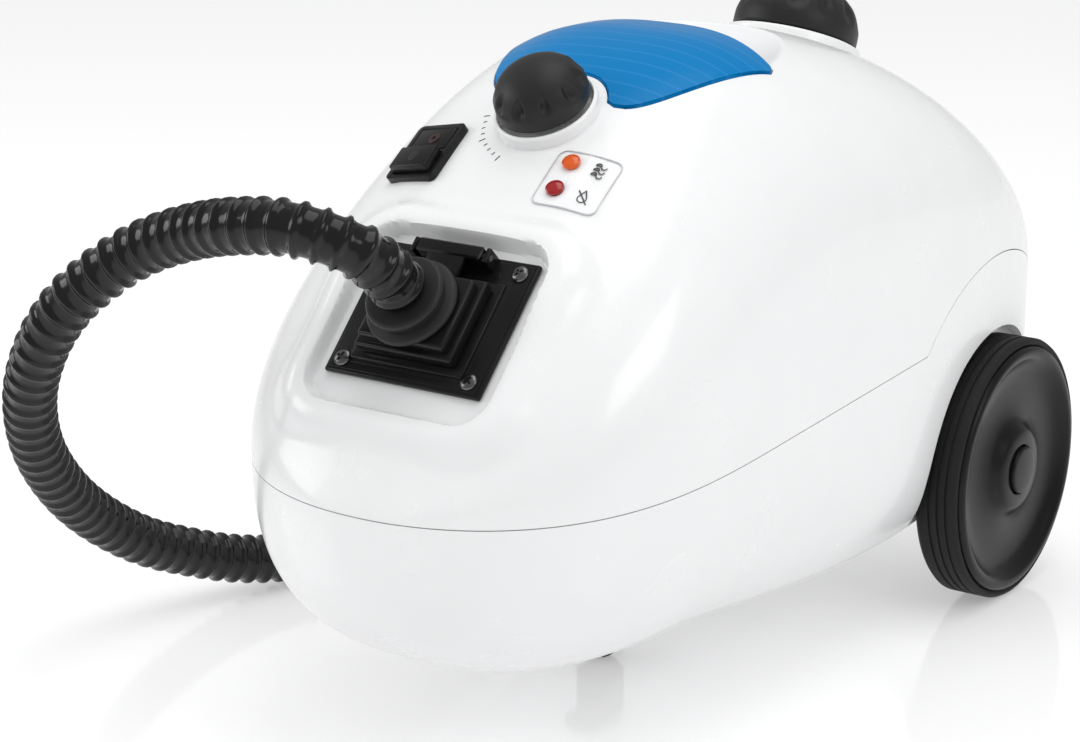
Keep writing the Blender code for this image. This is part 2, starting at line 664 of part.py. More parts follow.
def hose_route():
    """The hose's centre line: hand-chosen points, then half a turn on the floor."""
    lie = HOSE_REST_Z
    route = [(0.0, -0.21240, 0.22560), (0.0, -0.22314, 0.23604), (-0.006, -0.2380, 0.2485),
             (-0.029, -0.2510, 0.2570), (-0.058, -0.2540, 0.2550), (-0.090, -0.2500, 0.2470),
             (-0.118, -0.2510, 0.2360), (-0.139, -0.2570, 0.2220), (-0.158, -0.2620, 0.2040),
             (-0.177, -0.2600, 0.1800), (-0.196, -0.2490, 0.1510), (-0.212, -0.2290, 0.1190),
             (-0.223, -0.2020, 0.0890), (-0.228, -0.1730, 0.0640), (-0.226, -0.1420, 0.0430),
             (-0.220, -0.1120, 0.0290), (-0.211, -0.0840, 0.0190), (-0.201, -0.0560, lie),
             (-0.192, -0.0250, lie), (-0.186, 0.0100, lie), (-0.182, 0.0500, lie),
             (-0.177, 0.0950, lie), (-0.170, 0.1400, lie), (-0.162, 0.1850, lie),
             (-0.147, 0.2270, lie), (-0.127, 0.2670, lie), (-0.107, 0.3050, lie),
             (-0.0955, 0.3370, lie), (-0.092, 0.3700, lie)]
    for index in range(1, 11):
        angle = math.radians(20 * index)
        route.append((COIL_CENTRE[0] + COIL_RADIUS * math.cos(angle),
                      COIL_CENTRE[1] + COIL_RADIUS * math.sin(angle), lie))
    route += [(-0.3391, 0.3115, 0.0146), (-0.3339, 0.2974, GUN_Z), (-0.3289, 0.2836, GUN_Z)]
    return [Vector(point) for point in route]


def smooth_path(points, spacing):
    """Evenly spaced points on a smooth curve through the given points."""
    fine = [points[0]]
    count = len(points)
    for index in range(count - 1):
        before = points[max(index - 1, 0)]
        start, end = points[index], points[index + 1]
        after = points[min(index + 2, count - 1)]
        first, last = (end - before) / 2, (after - start) / 2
        for step in range(1, 17):
            t = step / 16
            fine.append(start * (2 * t ** 3 - 3 * t ** 2 + 1) + first * (t ** 3 - 2 * t ** 2 + t)
                        + end * (3 * t ** 2 - 2 * t ** 3) + last * (t ** 3 - t ** 2))
    lengths = np.cumsum([0.0] + [(b - a).length for a, b in zip(fine, fine[1:])])
    total = float(lengths[-1])
    pieces = max(2, round(total / spacing))
    wanted = np.linspace(0.0, total, pieces + 1)
    table = np.array(fine)
    return [Vector([float(np.interp(w, lengths, table[:, k])) for k in range(3)])
            for w in wanted]


def tube(name, points, radius, resolution=2):
    """A round tube through points, as a poly curve with filled caps."""
    curve = bpy.data.curves.new(name, "CURVE")
    curve.dimensions = "3D"
    curve.bevel_depth = radius
    curve.bevel_resolution = resolution
    curve.use_fill_caps = True
    spline = curve.splines.new("POLY")
    spline.points.add(len(points) - 1)
    for point, place in zip(spline.points, points):
        point.co = (*place, 1.0)
    obj = bpy.data.objects.new(name, curve)
    bpy.context.scene.collection.objects.link(obj)
    return obj


def build_hose():
    """The steam hose and the gun on its far end."""
    route = hose_route()
    path = route[:1] + smooth_path(route[1:], HOSE_STEP)
    own(tube("steam_hose", path, HOSE_DIAMETER / 2), SOFT_BLACK)
    outline = [(0.0004, -0.0135), (0.045, -0.0150), (0.066, -0.0135), (0.081, -0.004),
               (0.116, 0.036), (0.121, 0.046), (0.114, 0.0545), (0.104, 0.0545), (0.0935, 0.0500),
               (0.064, 0.0205), (0.054, 0.0140), (0.0004, 0.0135)]
    heading = math.radians(GUN_HEADING)
    gun_frame = frame("gun_frame", (GUN_X, GUN_Y, GUN_Z), (0, 0, 1),
                      (math.cos(heading), math.sin(heading), 0))
    body = plan_block("gun_body", outline, -GUN_THICKNESS / 2, GUN_THICKNESS / 2)
    bevel = body.modifiers.new("edge", "BEVEL")
    bevel.width = 0.004
    bevel.segments = 2
    bevel.limit_method = "ANGLE"
    bevel.angle_limit = math.radians(50)
    slot = box("trigger_slot", (0.042, 0.0165, 0.0124), (0.0140, 0, 0))
    placed(slot, (*TRIGGER_PIVOT, 0), (0, 0, 155 + TRIGGER_TRAVEL / 2))
    boolean(body, as_cutter(slot, gun_frame))
    hole = rod("trigger_pin_hole", 0.0018, (*TRIGGER_PIVOT, -0.009), (*TRIGGER_PIVOT, 0.009), 12)
    boolean(body, as_cutter(hole, gun_frame))
    own(body, SOFT_BLACK, gun_frame)
    trigger = box("gun_trigger", (0.040, 0.0070, 0.0110), (0.0165, 0, 0), corner=0.0030)
    trigger_bore = rod("trigger_bore", 0.0018, (0, 0, -0.02), (0, 0, 0.02), 12)
    boolean(trigger, as_cutter(trigger_bore, trigger))
    own(placed(trigger, (*TRIGGER_PIVOT, 0), (0, 0, 155)), BLACK, gun_frame)
    own(rod("trigger_pin", 0.0015, (*TRIGGER_PIVOT, -0.0085), (*TRIGGER_PIVOT, 0.0085), 12),
        STEEL, gun_frame)
    along = Vector((0.035, 0.040, 0)).normalized()
    nozzle = own(turned("gun_nozzle", [(0.0, 0.028), (NOZZLE_RADIUS * 0.6, 0.028),
                                       (NOZZLE_RADIUS * 0.7, 0.014), (NOZZLE_RADIUS, 0.012),
                                       (NOZZLE_RADIUS, 0.0), (0.0, 0.0)], 20), STEEL, gun_frame)
    nozzle.rotation_euler = along.to_track_quat("Z", "Y").to_euler()
    nozzle.location = Vector((0.1135, 0.0490, 0)) + along * 0.0045


# ---------------------------------------------------------------- dial, switches, lights

def fitted(seat):
    """Trim a seat so that it stands on the curved body."""
    form = bpy.data.objects.get("seat_form") or as_cutter(body_solid("seat_form", -GAP))
    boolean(seat, form)
    return seat


def build_dial():
    """The steam dial, its seat, spindle and valve."""
    inner = DIAL_RADIUS + SLIP
    seat = turned("dial_seat", [(inner, SEAT_HEIGHT), (SEAT_RADIUS, SEAT_HEIGHT),
                                (SEAT_RADIUS + 0.001, -0.010), (SPINDLE_RADIUS + 0.003, -0.010),
                                (SPINDLE_RADIUS + 0.003, SEAT_HEIGHT - 0.0035),
                                (inner, SEAT_HEIGHT - 0.0035), (inner, SEAT_HEIGHT)], 32)
    own(fitted(seat), WHITE, dial_frame)
    low = SEAT_HEIGHT - 0.0035 + SLIP
    dome = [(0.0, low + DIAL_HEIGHT - 0.003)]
    for index in range(1, 7):
        angle = math.radians(90 - 13 * index)
        dome.append((DIAL_RADIUS * math.cos(angle) ** 0.92,
                     low + 0.005 + (DIAL_HEIGHT - 0.008) * math.sin(angle)))
    dome += [(DIAL_RADIUS, low + 0.005), (DIAL_RADIUS - 0.0008, low),
             (SPINDLE_RADIUS + GAP, low), (SPINDLE_RADIUS + GAP, low + 0.012),
             (0.0, low + 0.012)]
    own(turned("steam_dial", dome, 28), SOFT_BLACK, dial_frame)
    own(rod("dial_spindle", SPINDLE_RADIUS, (0, 0, -0.016), (0, 0, low + 0.0116)), STEEL,
        dial_frame)
    own(rod("steam_valve", 0.010, (0, 0, -0.046), (0, 0, -0.0165)), BRASS, dial_frame)


def build_switches():
    """The pair of push switches in their black bezel."""
    low = BEZEL_HEIGHT - 0.0225
    bezel = box("switch_bezel", (*BEZEL_SIZE, BEZEL_HEIGHT - low), (0, 0, (BEZEL_HEIGHT + low) / 2),
                corner=0.003)
    form = as_cutter(body_solid("bezel_form", -GAP))
    core = box("bezel_core", (BEZEL_SIZE[0] - 0.0046, BEZEL_SIZE[1] - 0.0046, 0.10))
    boolean(form, as_cutter(core, switch_frame))
    boolean(bezel, form)
    for rise, label in ((-0.5, "steam"), (0.5, "power")):
        place_y = rise * BUTTON_PITCH
        well = box(f"{label}_well", (BUTTON_SIZE[0] + 0.001, BUTTON_SIZE[1] + 0.001, 0.060),
                   (0, place_y, 0.0))
        boolean(bezel, as_cutter(well, switch_frame))
    own(bezel, BLACK, switch_frame)
    own(box("switch_block", (BEZEL_SIZE[0] - 0.004, BEZEL_SIZE[1] - 0.004, 0.010),
            (0, 0, low - 0.0055 - GAP)), BLACK, switch_frame)
    for rise, out, label in ((-0.5, 0.0065, "steam"), (0.5, 0.0025, "power")):
        depth = 0.0150
        own(box(f"{label}_button", (*BUTTON_SIZE, depth),
                (0, rise * BUTTON_PITCH, out + 0.0005 - depth / 2), corner=0.001), BLACK,
            switch_frame)


def surface_layer(name, parent, size, corner, low, high):
    """A thin rounded tile that follows the body's surface between two heights above it."""
    tile = box(name, (size, size, 0.03), (0, 0, 0), corner=corner)
    boolean(tile, as_cutter(body_solid(f"{name}_outer", -high)), "INTERSECT")
    boolean(tile, as_cutter(body_solid(f"{name}_inner", -low)))
    tile.parent = parent
    return tile


def build_lights():
    """The indicator panel and its two lenses."""
    panel = surface_layer("indicator_panel", panel_frame, PANEL_SIZE, 0.004, GAP,
                          GAP + PANEL_THICKNESS)
    for rise, mat, label in ((0.5, AMBER, "ready"), (-0.5, RED, "water")):
        place = (LENS_OFFSET, rise * LENS_PITCH)
        hole = rod(f"{label}_hole", LENS_RADIUS + 0.0003, (*place, -0.02), (*place, 0.02))
        as_cutter(hole, panel_frame)
        boolean(panel, hole)
        boolean(bpy.data.objects["upper_housing"], hole)
        lens = rod(f"{label}_lens", LENS_RADIUS, (*place, -0.008), (*place, 0.0026))
        bevel = lens.modifiers.new("edge", "BEVEL")
        bevel.width = 0.0008
        bevel.segments = 1
        bevel.limit_method = "ANGLE"
        own(lens, mat, panel_frame)
    own(panel, WHITE, panel_frame)


# ---------------------------------------------------------------- lid and water tank

def build_lid():
    """The water tank's lid on its hinge pin, and the pin's brackets."""
    lid = body_solid("tank_lid", -LID_PROUD)
    boolean(lid, as_cutter(body_solid("lid_under", LID_THICKNESS - LID_PROUD)))
    boolean(lid, as_cutter(plan_block("lid_plan", lid_outline(0.0), 0.235, 0.36)), "INTERSECT")
    for side in (-1, 1):
        near = side * (HINGE_HALF_SPAN - 0.0115)
        lug = box(f"lid_lug_{side}", (0.007, 0.008, LID_HINGE_DROP + 0.0025),
                  (near, LID_HINGE_Y, HINGE_Z + LID_HINGE_DROP / 2 - 0.0022))
        boolean(lid, as_cutter(lug), "UNION")
    bore = rod("hinge_bore", HINGE_PIN_RADIUS + 0.0004, (-0.05, LID_HINGE_Y, HINGE_Z),
               (0.05, LID_HINGE_Y, HINGE_Z), 16)
    as_cutter(bore)
    boolean(lid, bore)
    own(lid, BLUE)
    inverse = lid_frame.matrix_world.inverted()
    lid.data.transform(inverse)
    lid.parent = lid_frame
    own(rod("hinge_pin", HINGE_PIN_RADIUS, (-HINGE_HALF_SPAN, LID_HINGE_Y, HINGE_Z),
            (HINGE_HALF_SPAN, LID_HINGE_Y, HINGE_Z), 16), STEEL)
    for side, label in ((-1, "left"), (1, "right")):
        foot = TANK_TOP_Z + GAP
        height = HINGE_Z + 0.003 - foot
        bracket = box(f"{label}_hinge_bracket", (0.004, 0.009, height),
                      (side * (HINGE_HALF_SPAN - 0.0035), LID_HINGE_Y + 0.001,
                       foot + height / 2))
        boolean(bracket, bore)
        own(bracket, TANK)


def build_tank():
    """The cold water tank with its round filler and strainer."""
    width, depth, height = TANK_SIZE
    low = TANK_TOP_Z - height
    tank = box("water_tank", TANK_SIZE, (0, TANK_Y, low + height / 2), corner=0.012)
    inside = box("tank_space", (width - 2 * TANK_WALL, depth - 2 * TANK_WALL,
                                height - 2 * TANK_WALL),
                 (0, TANK_Y, low + height / 2), corner=0.010)
    boolean(tank, as_cutter(inside))
    filler = rod("filler_hole", FILLER_RADIUS, (0, TANK_Y, TANK_TOP_Z - 0.02),
                 (0, TANK_Y, TANK_TOP_Z + 0.02), 32)
    boolean(tank, as_cutter(filler))
    own(tank, TANK)
    rim = FILLER_RADIUS
    strainer = turned("filler_strainer", [(rim - 0.003, TANK_TOP_Z + GAP + 0.002),
                                          (rim + 0.003, TANK_TOP_Z + GAP + 0.002),
                                          (rim + 0.003, TANK_TOP_Z + GAP),
                                          (rim - 0.0005, TANK_TOP_Z + GAP),
                                          (rim - 0.0015, TANK_TOP_Z - 0.018),
                                          (0.0, TANK_TOP_Z - 0.018),
                                          (0.0, TANK_TOP_Z - 0.016),
                                          (rim - 0.003, TANK_TOP_Z - 0.016),
                                          (rim - 0.003, TANK_TOP_Z + GAP + 0.002)], 24)
    own(placed(strainer, (0, TANK_Y, 0)), SOFT_BLACK)


# ---------------------------------------------------------------- boiler, pump and pipes

def build_boiler():
    """The boiler with its filler neck, cap, heating ring and safety fittings."""
    low, high = BOILER_Z
    cap_slope = cap_frame.matrix_world.col[2].z
    boiler = turned("boiler", [(0.0, high), (BOILER_RADIUS - 0.010, high),
                               (BOILER_RADIUS, high - 0.010), (BOILER_RADIUS, low + 0.010),
                               (BOILER_RADIUS - 0.010, low), (0.0, low)], 28)
    placed(boiler, (0, BOILER_Y, 0))
    neck_foot = (high - CAP_NECK_SINK - cap_frame.matrix_world.translation.z) / cap_slope
    neck = rod("neck", NECK_RADIUS, (0, 0, neck_foot), (0, 0, CAP_SEAT_HEIGHT - 0.001), 24)
    boolean(boiler, as_cutter(neck, cap_frame), "UNION")
    bore = rod("neck_bore", NECK_RADIUS - 0.004, (0, 0, -0.045), (0, 0, 0.02), 24)
    boolean(boiler, as_cutter(bore, cap_frame))
    own(boiler, STEEL)
    seat = turned("cap_seat", [(NECK_RADIUS + 0.0005, CAP_SEAT_HEIGHT),
                               (CAP_SEAT_RADIUS, CAP_SEAT_HEIGHT), (CAP_SEAT_RADIUS, -0.010),
                               (NECK_RADIUS + 0.0005, -0.010),
                               (NECK_RADIUS + 0.0005, CAP_SEAT_HEIGHT)], 32)
    own(fitted(seat), WHITE, cap_frame)
    low_dome = CAP_SEAT_HEIGHT + SLIP
    dome = [(0.0, low_dome + CAP_DOME_HEIGHT)]
    for index in range(1, 7):
        angle = math.radians(90 - 13 * index)
        dome.append((CAP_DOME_RADIUS * math.cos(angle) ** 0.92,
                     low_dome + 0.006 + (CAP_DOME_HEIGHT - 0.006) * math.sin(angle)))
    plug = NECK_RADIUS - 0.004 - SLIP
    dome += [(CAP_DOME_RADIUS, low_dome + 0.006), (CAP_DOME_RADIUS - 0.001, low_dome),
             (plug, low_dome), (plug, -0.020), (0.0, -0.020)]
    own(turned("boiler_cap", dome, 28), SOFT_BLACK, cap_frame)
    heater = turned("heating_ring", [(0.030, low - GAP), (0.048, low - GAP), (0.048, low - 0.009),
                                     (0.030, low - 0.009), (0.030, low - GAP)], 24)
    own(placed(heater, (0, BOILER_Y, 0)), STEEL)
    own(rod("thermostat", 0.008, (0.032, BOILER_Y - 0.016, high + GAP),
            (0.032, BOILER_Y - 0.016, high + 0.012)), BLACK)
    own(rod("safety_valve", 0.006, (-0.032, BOILER_Y - 0.016, high + GAP),
            (-0.032, BOILER_Y - 0.016, high + 0.022), 6), BRASS)


def build_internals():
    """The pump, solenoid valve, control board and internal pipes."""
    pump = own(rod("water_pump", 0.019, (0.045, -0.125, 0.075), (0.045, -0.062, 0.075), 24), STEEL)
    lug = box("pump_head", (0.030, 0.020, 0.030), (0.045, -0.058, 0.078))
    boolean(pump, as_cutter(lug), "UNION")
    own(box("solenoid_valve", (0.024, 0.030, 0.034), (-0.050, -0.075, 0.078)), BRASS)
    own(box("control_board", (0.0016, 0.080, 0.055), (-0.090, 0.000, 0.115)), BOARD)
    tank_low = TANK_TOP_Z - TANK_SIZE[2]
    water = [(0.045, -0.035, tank_low - 0.0035), (0.045, -0.036, 0.140), (0.045, -0.050, 0.120),
             (0.045, -0.056, 0.105), (0.045, -0.057, 0.0936)]
    own(tube("water_pipe", [Vector(p) for p in water], 0.0030), SILICONE)
    dial = dial_frame.matrix_world
    valve_side = dial @ Vector((0.0104, 0, -0.034))
    steam = [(0.025, BOILER_Y - 0.040, BOILER_Z[1] + 0.0008), (0.030, 0.064, 0.226),
             (0.060, 0.050, 0.232), (0.086, 0.025, 0.225), (0.088, -0.020, 0.215),
             (0.080, -0.060, 0.222), (0.050, -0.078, 0.240),
             (0.028, valve_side.y, valve_side.z), tuple(valve_side)]
    own(tube("steam_pipe", [Vector(p) for p in steam], 0.0028), BRASS)
    valve_end = dial @ Vector((0, 0, -0.0464))
    socket_back = socket_frame.matrix_world @ Vector((0, 0, -PLATE_THICKNESS - SOCKET_DEPTH - GAP))
    inward = socket_frame.matrix_world @ Vector((0, 0, -PLATE_THICKNESS - SOCKET_DEPTH - 0.018))
    outlet = [socket_back, inward, Vector((0, -0.120, 0.188)),
              dial @ Vector((0, 0, -0.058)), valve_end]
    own(tube("outlet_pipe", outlet, 0.0030), BRASS)


# ---------------------------------------------------------------- running gear

def build_wheels():
    """The rear axle, wheels, tyres and hub caps."""
    reach = WHEEL_OUTER_X - 0.006
    own(rod("rear_axle", AXLE_RADIUS, (-reach, AXLE_Y, WHEEL_RADIUS),
            (reach, AXLE_Y, WHEEL_RADIUS), 24), STEEL)
    inner = WHEEL_OUTER_X - WHEEL_WIDTH
    rim = WHEEL_RADIUS - 0.004
    for side, label in ((-1, "left"), (1, "right")):
        holder = frame(f"{label}_wheel_frame", (0, AXLE_Y, WHEEL_RADIUS), (side, 0, 0), (0, 1, 0))
        bore = AXLE_RADIUS + 0.0003
        wheel = turned(f"{label}_wheel", [
            (CAP_RADIUS - 0.003, WHEEL_OUTER_X + 0.0005), (CAP_RADIUS + 0.006, WHEEL_OUTER_X),
            (CAP_RADIUS + 0.009, WHEEL_OUTER_X - 0.004), (rim * 0.62, WHEEL_OUTER_X - 0.0075),
            (rim - 0.010, WHEEL_OUTER_X - 0.005), (rim - 0.006, WHEEL_OUTER_X - 0.0005),
            (rim, WHEEL_OUTER_X - 0.0015), (rim, inner + 0.001), (rim - 0.006, inner + 0.001),
            (rim - 0.008, WHEEL_OUTER_X - 0.013), (CAP_RADIUS + 0.006, WHEEL_OUTER_X - 0.013),
            (CAP_RADIUS, inner), (bore, inner), (bore, WHEEL_OUTER_X - 0.005),
            (CAP_RADIUS - 0.003, WHEEL_OUTER_X - 0.005),
            (CAP_RADIUS - 0.003, WHEEL_OUTER_X + 0.0005)], 36)
        own(wheel, BLACK, holder)
        tyre_in = rim + GAP
        tyre = turned(f"{label}_tyre", [
            (tyre_in, WHEEL_OUTER_X - 0.0020), (WHEEL_RADIUS - 0.0015, WHEEL_OUTER_X - 0.0020),
            (WHEEL_RADIUS, WHEEL_OUTER_X - 0.0040), (WHEEL_RADIUS, inner + 0.003),
            (WHEEL_RADIUS - 0.0015, inner + 0.001), (tyre_in, inner + 0.001),
            (tyre_in, WHEEL_OUTER_X - 0.0020)], 48)
        own(tyre, TYRE, holder)
        cap = turned(f"{label}_hub_cap", [
            (0.0, WHEEL_OUTER_X + 0.0035), (CAP_RADIUS - 0.006, WHEEL_OUTER_X + 0.0030),
            (CAP_RADIUS - 0.0035, WHEEL_OUTER_X + 0.001),
            (CAP_RADIUS - 0.0035, WHEEL_OUTER_X - 0.0045), (0.0, WHEEL_OUTER_X - 0.0045)], 20)
        own(cap, BLACK, holder)


def build_caster():
    """The swivel caster under the nose."""
    keel = section(CASTER_Y)[3]
    top = keel - 0.0015
    fork = box("caster_fork", (0.020, 0.030, 0.0035), (0, 0.003, top - 0.00175), corner=0.006)
    for side in (-1, 1):
        cheek = box(f"cheek_{side}", (0.0024, 0.014, top - 0.006),
                    (side * 0.0086, CASTER_TRAIL, (top + 0.006) / 2 - 0.0005), corner=0.0)
        boolean(fork, as_cutter(cheek), "UNION")
        placed(cheek, (0, CASTER_Y, 0))
    stem = rod("caster_stem", CASTER_STEM_RADIUS, (0, CASTER_Y, top - 0.002),
               (0, CASTER_Y, keel + 0.022))
    boolean(fork, as_cutter(stem), "UNION")
    pin_hole = rod("caster_pin_hole", CASTER_PIN_RADIUS + 0.0003,
                   (-0.02, CASTER_Y + CASTER_TRAIL, CASTER_WHEEL_RADIUS),
                   (0.02, CASTER_Y + CASTER_TRAIL, CASTER_WHEEL_RADIUS), 16)
    boolean(fork, as_cutter(pin_hole))
    own(placed(fork, (0, CASTER_Y, 0)), SOFT_BLACK)
    own(rod("caster_pin", CASTER_PIN_RADIUS,
            (-0.0105, CASTER_Y + CASTER_TRAIL, CASTER_WHEEL_RADIUS),
            (0.0105, CASTER_Y + CASTER_TRAIL, CASTER_WHEEL_RADIUS), 16), STEEL)
    holder = frame("caster_wheel_frame", (0, CASTER_Y + CASTER_TRAIL, CASTER_WHEEL_RADIUS),
                   (1, 0, 0), (0, 1, 0))
    half = CASTER_WHEEL_WIDTH / 2
    bore = CASTER_PIN_RADIUS + 0.0003
    own(turned("caster_wheel", [(bore, half), (CASTER_WHEEL_RADIUS - 0.001, half),
                                (CASTER_WHEEL_RADIUS, half - 0.002),
                                (CASTER_WHEEL_RADIUS, 0.002 - half),
                                (CASTER_WHEEL_RADIUS - 0.001, -half), (bore, -half),
                                (bore, half)], 24), TYRE, holder)
    inside = keel + WALL + 0.001
    own(placed(turned("caster_socket", [(CASTER_STEM_RADIUS + 0.0004, inside + 0.014),
                                        (0.010, inside + 0.014), (0.010, inside),
                                        (CASTER_STEM_RADIUS + 0.0004, inside),
                                        (CASTER_STEM_RADIUS + 0.0004, inside + 0.014)], 24),
               (0, CASTER_Y, 0)), STEEL)


def build_inlet():
    """The mains inlet let into the tail of the lower housing."""
    centre_z = 0.105
    face = TAIL_Y - 0.0012
    hole = box("inlet_hole", (0.0266, 0.05, 0.0206), (0, TAIL_Y, centre_z))
    boolean(bpy.data.objects["lower_housing"], as_cutter(hole))
    inlet = box("mains_inlet", (0.026, 0.018, 0.020), (0, face - 0.009, centre_z))
    space = box("inlet_space", (0.021, 0.024, 0.015), (0, face, centre_z))
    boolean(inlet, as_cutter(space))
    for across in (-0.006, 0.0, 0.006):
        prong = box(f"prong_{across}", (0.0015, 0.012, 0.004), (across, face - 0.011, centre_z))
        boolean(inlet, as_cutter(prong), "UNION")
    own(inlet, BLACK)


VOID = shell_void("shell_void")
build_upper_housing(VOID)
build_lower_housing(VOID)
build_socket()
build_plug()
build_hose()
build_dial()
build_switches()
build_lights()
build_lid()
build_tank()
build_boiler()
build_internals()
build_wheels()
build_caster()
build_inlet()
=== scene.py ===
"""Looks of the canister steam cleaner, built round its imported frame."""

import logging
import math
from dataclasses import dataclass, field
from enum import Enum

import bmesh
import bpy
from mathutils import Matrix, Vector


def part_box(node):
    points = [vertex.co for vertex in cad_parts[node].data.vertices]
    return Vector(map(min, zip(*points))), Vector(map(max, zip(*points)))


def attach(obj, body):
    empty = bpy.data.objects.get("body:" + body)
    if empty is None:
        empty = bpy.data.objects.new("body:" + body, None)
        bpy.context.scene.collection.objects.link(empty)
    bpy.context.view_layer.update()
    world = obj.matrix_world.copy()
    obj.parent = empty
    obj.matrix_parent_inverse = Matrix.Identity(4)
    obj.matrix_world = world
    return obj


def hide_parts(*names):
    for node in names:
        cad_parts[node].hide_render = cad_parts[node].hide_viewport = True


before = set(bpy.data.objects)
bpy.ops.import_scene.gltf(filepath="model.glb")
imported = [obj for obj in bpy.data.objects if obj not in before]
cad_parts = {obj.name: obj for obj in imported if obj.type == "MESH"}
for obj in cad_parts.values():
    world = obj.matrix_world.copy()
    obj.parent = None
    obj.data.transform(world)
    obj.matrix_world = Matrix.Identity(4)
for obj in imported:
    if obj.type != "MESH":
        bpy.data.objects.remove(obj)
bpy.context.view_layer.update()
LOG = logging.getLogger("steam_cleaner")

Point = tuple[float, float, float]
Colour = tuple[float, float, float]
Outline = list[tuple[float, float]]

SOCKET_ORIGIN = Vector((0, -0.190066, 0.208053))
SOCKET_NORMAL = Vector((0, -0.716911, 0.697165))
SWITCH_SPOT = (-0.052, -0.122)
SWITCH_HOLE = (0.0270, 0.0320)
DIAL_SPOT = (0.0, -0.097)
CAP_SPOT = (0.0, 0.130)
PANEL_SPOT = (0.037, -0.127)


class Side(Enum):
    """Which side of the machine a mirrored piece is on."""

    LEFT = -1
    RIGHT = 1

    @property
    def label(self) -> str:
        """The word that the piece's names start with."""
        return self.name.lower()


# ---------------------------------------------------------------- finishes

@dataclass(frozen=True)
class Finish:
    """A moulded or machined surface with a fine grain and slightly uneven gloss.

    Attributes:
        name: the material's name.
        colour: linear base colour.
        roughness: mean roughness.
        metallic: 1 for bare metal.
        coat: weight of the clear glossy layer.
        grain: grains per metre of the surface texture.
        depth: height of the grain in metres.
        mottle: how far the colour wanders, as a share.
        transmission: share of light that passes through.
        glow: strength of light given off in the base colour.
        shine: strength of the surface's own reflection.
    """

    name: str
    colour: Colour
    roughness: float = 0.3
    metallic: float = 0.0
    coat: float = 0.0
    grain: float = 900.0
    depth: float = 0.00002
    mottle: float = 0.06
    transmission: float = 0.0
    glow: float = 0.0
    shine: float = 0.5

    def shader(self) -> tuple[bpy.types.Material, bpy.types.Node]:
        """Makes the material's nodes.

        Returns:
            The material and its Principled shader.
        """
        material = bpy.data.materials.new(self.name)
        material.use_nodes = True
        tree = material.node_tree
        shader = tree.nodes["Principled BSDF"]
        shader.inputs["Base Color"].default_value = (*self.colour, 1.0)
        shader.inputs["Metallic"].default_value = self.metallic
        shader.inputs["Coat Weight"].default_value = self.coat
        shader.inputs["Coat Roughness"].default_value = 0.06
        shader.inputs["Specular IOR Level"].default_value = self.shine
        shader.inputs["Transmission Weight"].default_value = self.transmission
        if self.glow:
            shader.inputs["Emission Color"].default_value = (*self.colour, 1.0)
            shader.inputs["Emission Strength"].default_value = self.glow
        place = tree.nodes.new("ShaderNodeTexCoord")
        fine = self.noise(tree, place, self.grain, 3.0)
        bump = tree.nodes.new("ShaderNodeBump")
        bump.inputs["Strength"].default_value = 0.6
        bump.inputs["Distance"].default_value = self.depth
        tree.links.new(fine.outputs["Fac"], bump.inputs["Height"])
        tree.links.new(bump.outputs["Normal"], shader.inputs["Normal"])
        broad = self.noise(tree, place, 26.0, 4.0)
        gloss = tree.nodes.new("ShaderNodeMapRange")
        gloss.inputs["To Min"].default_value = self.roughness * 0.8
        gloss.inputs["To Max"].default_value = self.roughness * 1.2
        tree.links.new(broad.outputs["Fac"], gloss.inputs["Value"])
        tree.links.new(gloss.outputs["Result"], shader.inputs["Roughness"])
        ramp = tree.nodes.new("ShaderNodeValToRGB")
        ramp.color_ramp.elements[0].position = 0.3
        ramp.color_ramp.elements[1].position = 0.7
        for element, share in zip(ramp.color_ramp.elements, (1 - self.mottle, 1 + self.mottle)):
            element.color = (*(min(1.0, part * share) for part in self.colour), 1.0)
        tree.links.new(broad.outputs["Fac"], ramp.inputs["Fac"])
        tree.links.new(ramp.outputs["Color"], shader.inputs["Base Color"])
        return material, shader

    @staticmethod
    def noise(tree: bpy.types.NodeTree, place: bpy.types.Node, scale: float,
              detail: float) -> bpy.types.Node:
        """Adds a noise texture on Object coordinates and returns it."""
        node = tree.nodes.new("ShaderNodeTexNoise")
        node.inputs["Scale"].default_value = scale
        node.inputs["Detail"].default_value = detail
        tree.links.new(place.outputs["Object"], node.inputs["Vector"])
        return node

    def material(self) -> bpy.types.Material:
        """The material, made once and then shared."""
        return bpy.data.materials.get(self.name) or self.shader()[0]


@dataclass(frozen=True)
class LidFinish(Finish):
    """Tinted lid plastic with faint ribs across its inner face, drawn as thin lighter lines of
    painted highlight.
    """

    rib_pitch: float = 0.0085

    def material(self) -> bpy.types.Material:
        """The material with its ribs drawn as lines of painted highlight, made once and then
        shared.
        """
        found = bpy.data.materials.get(self.name)
        if found:
            return found
        material, shader = self.shader()
        tree = material.node_tree
        place = tree.nodes.new("ShaderNodeTexCoord")
        wave = tree.nodes.new("ShaderNodeTexWave")
        wave.bands_direction = "Y"
        wave.inputs["Scale"].default_value = 0.314 / self.rib_pitch
        wave.inputs["Distortion"].default_value = 0.4
        wave.inputs["Detail Scale"].default_value = 0.2
        tree.links.new(place.outputs["Object"], wave.inputs["Vector"])
        # the ribs show only as thin lighter colour lines at the rib pitch: painted highlight along
        # each rib
        thin = tree.nodes.new("ShaderNodeValToRGB")
        thin.color_ramp.elements[0].position = 0.90
        thin.color_ramp.elements[1].position = 1.0
        dark, light = self.colour, tuple(0.012 + 1.05 * part for part in self.colour)
        thin.color_ramp.elements[0].color = (*dark, 1.0)
        thin.color_ramp.elements[1].color = (*light, 1.0)
        tree.links.new(wave.outputs["Fac"], thin.inputs["Fac"])
        tree.links.new(thin.outputs["Color"], shader.inputs["Base Color"])
        return material


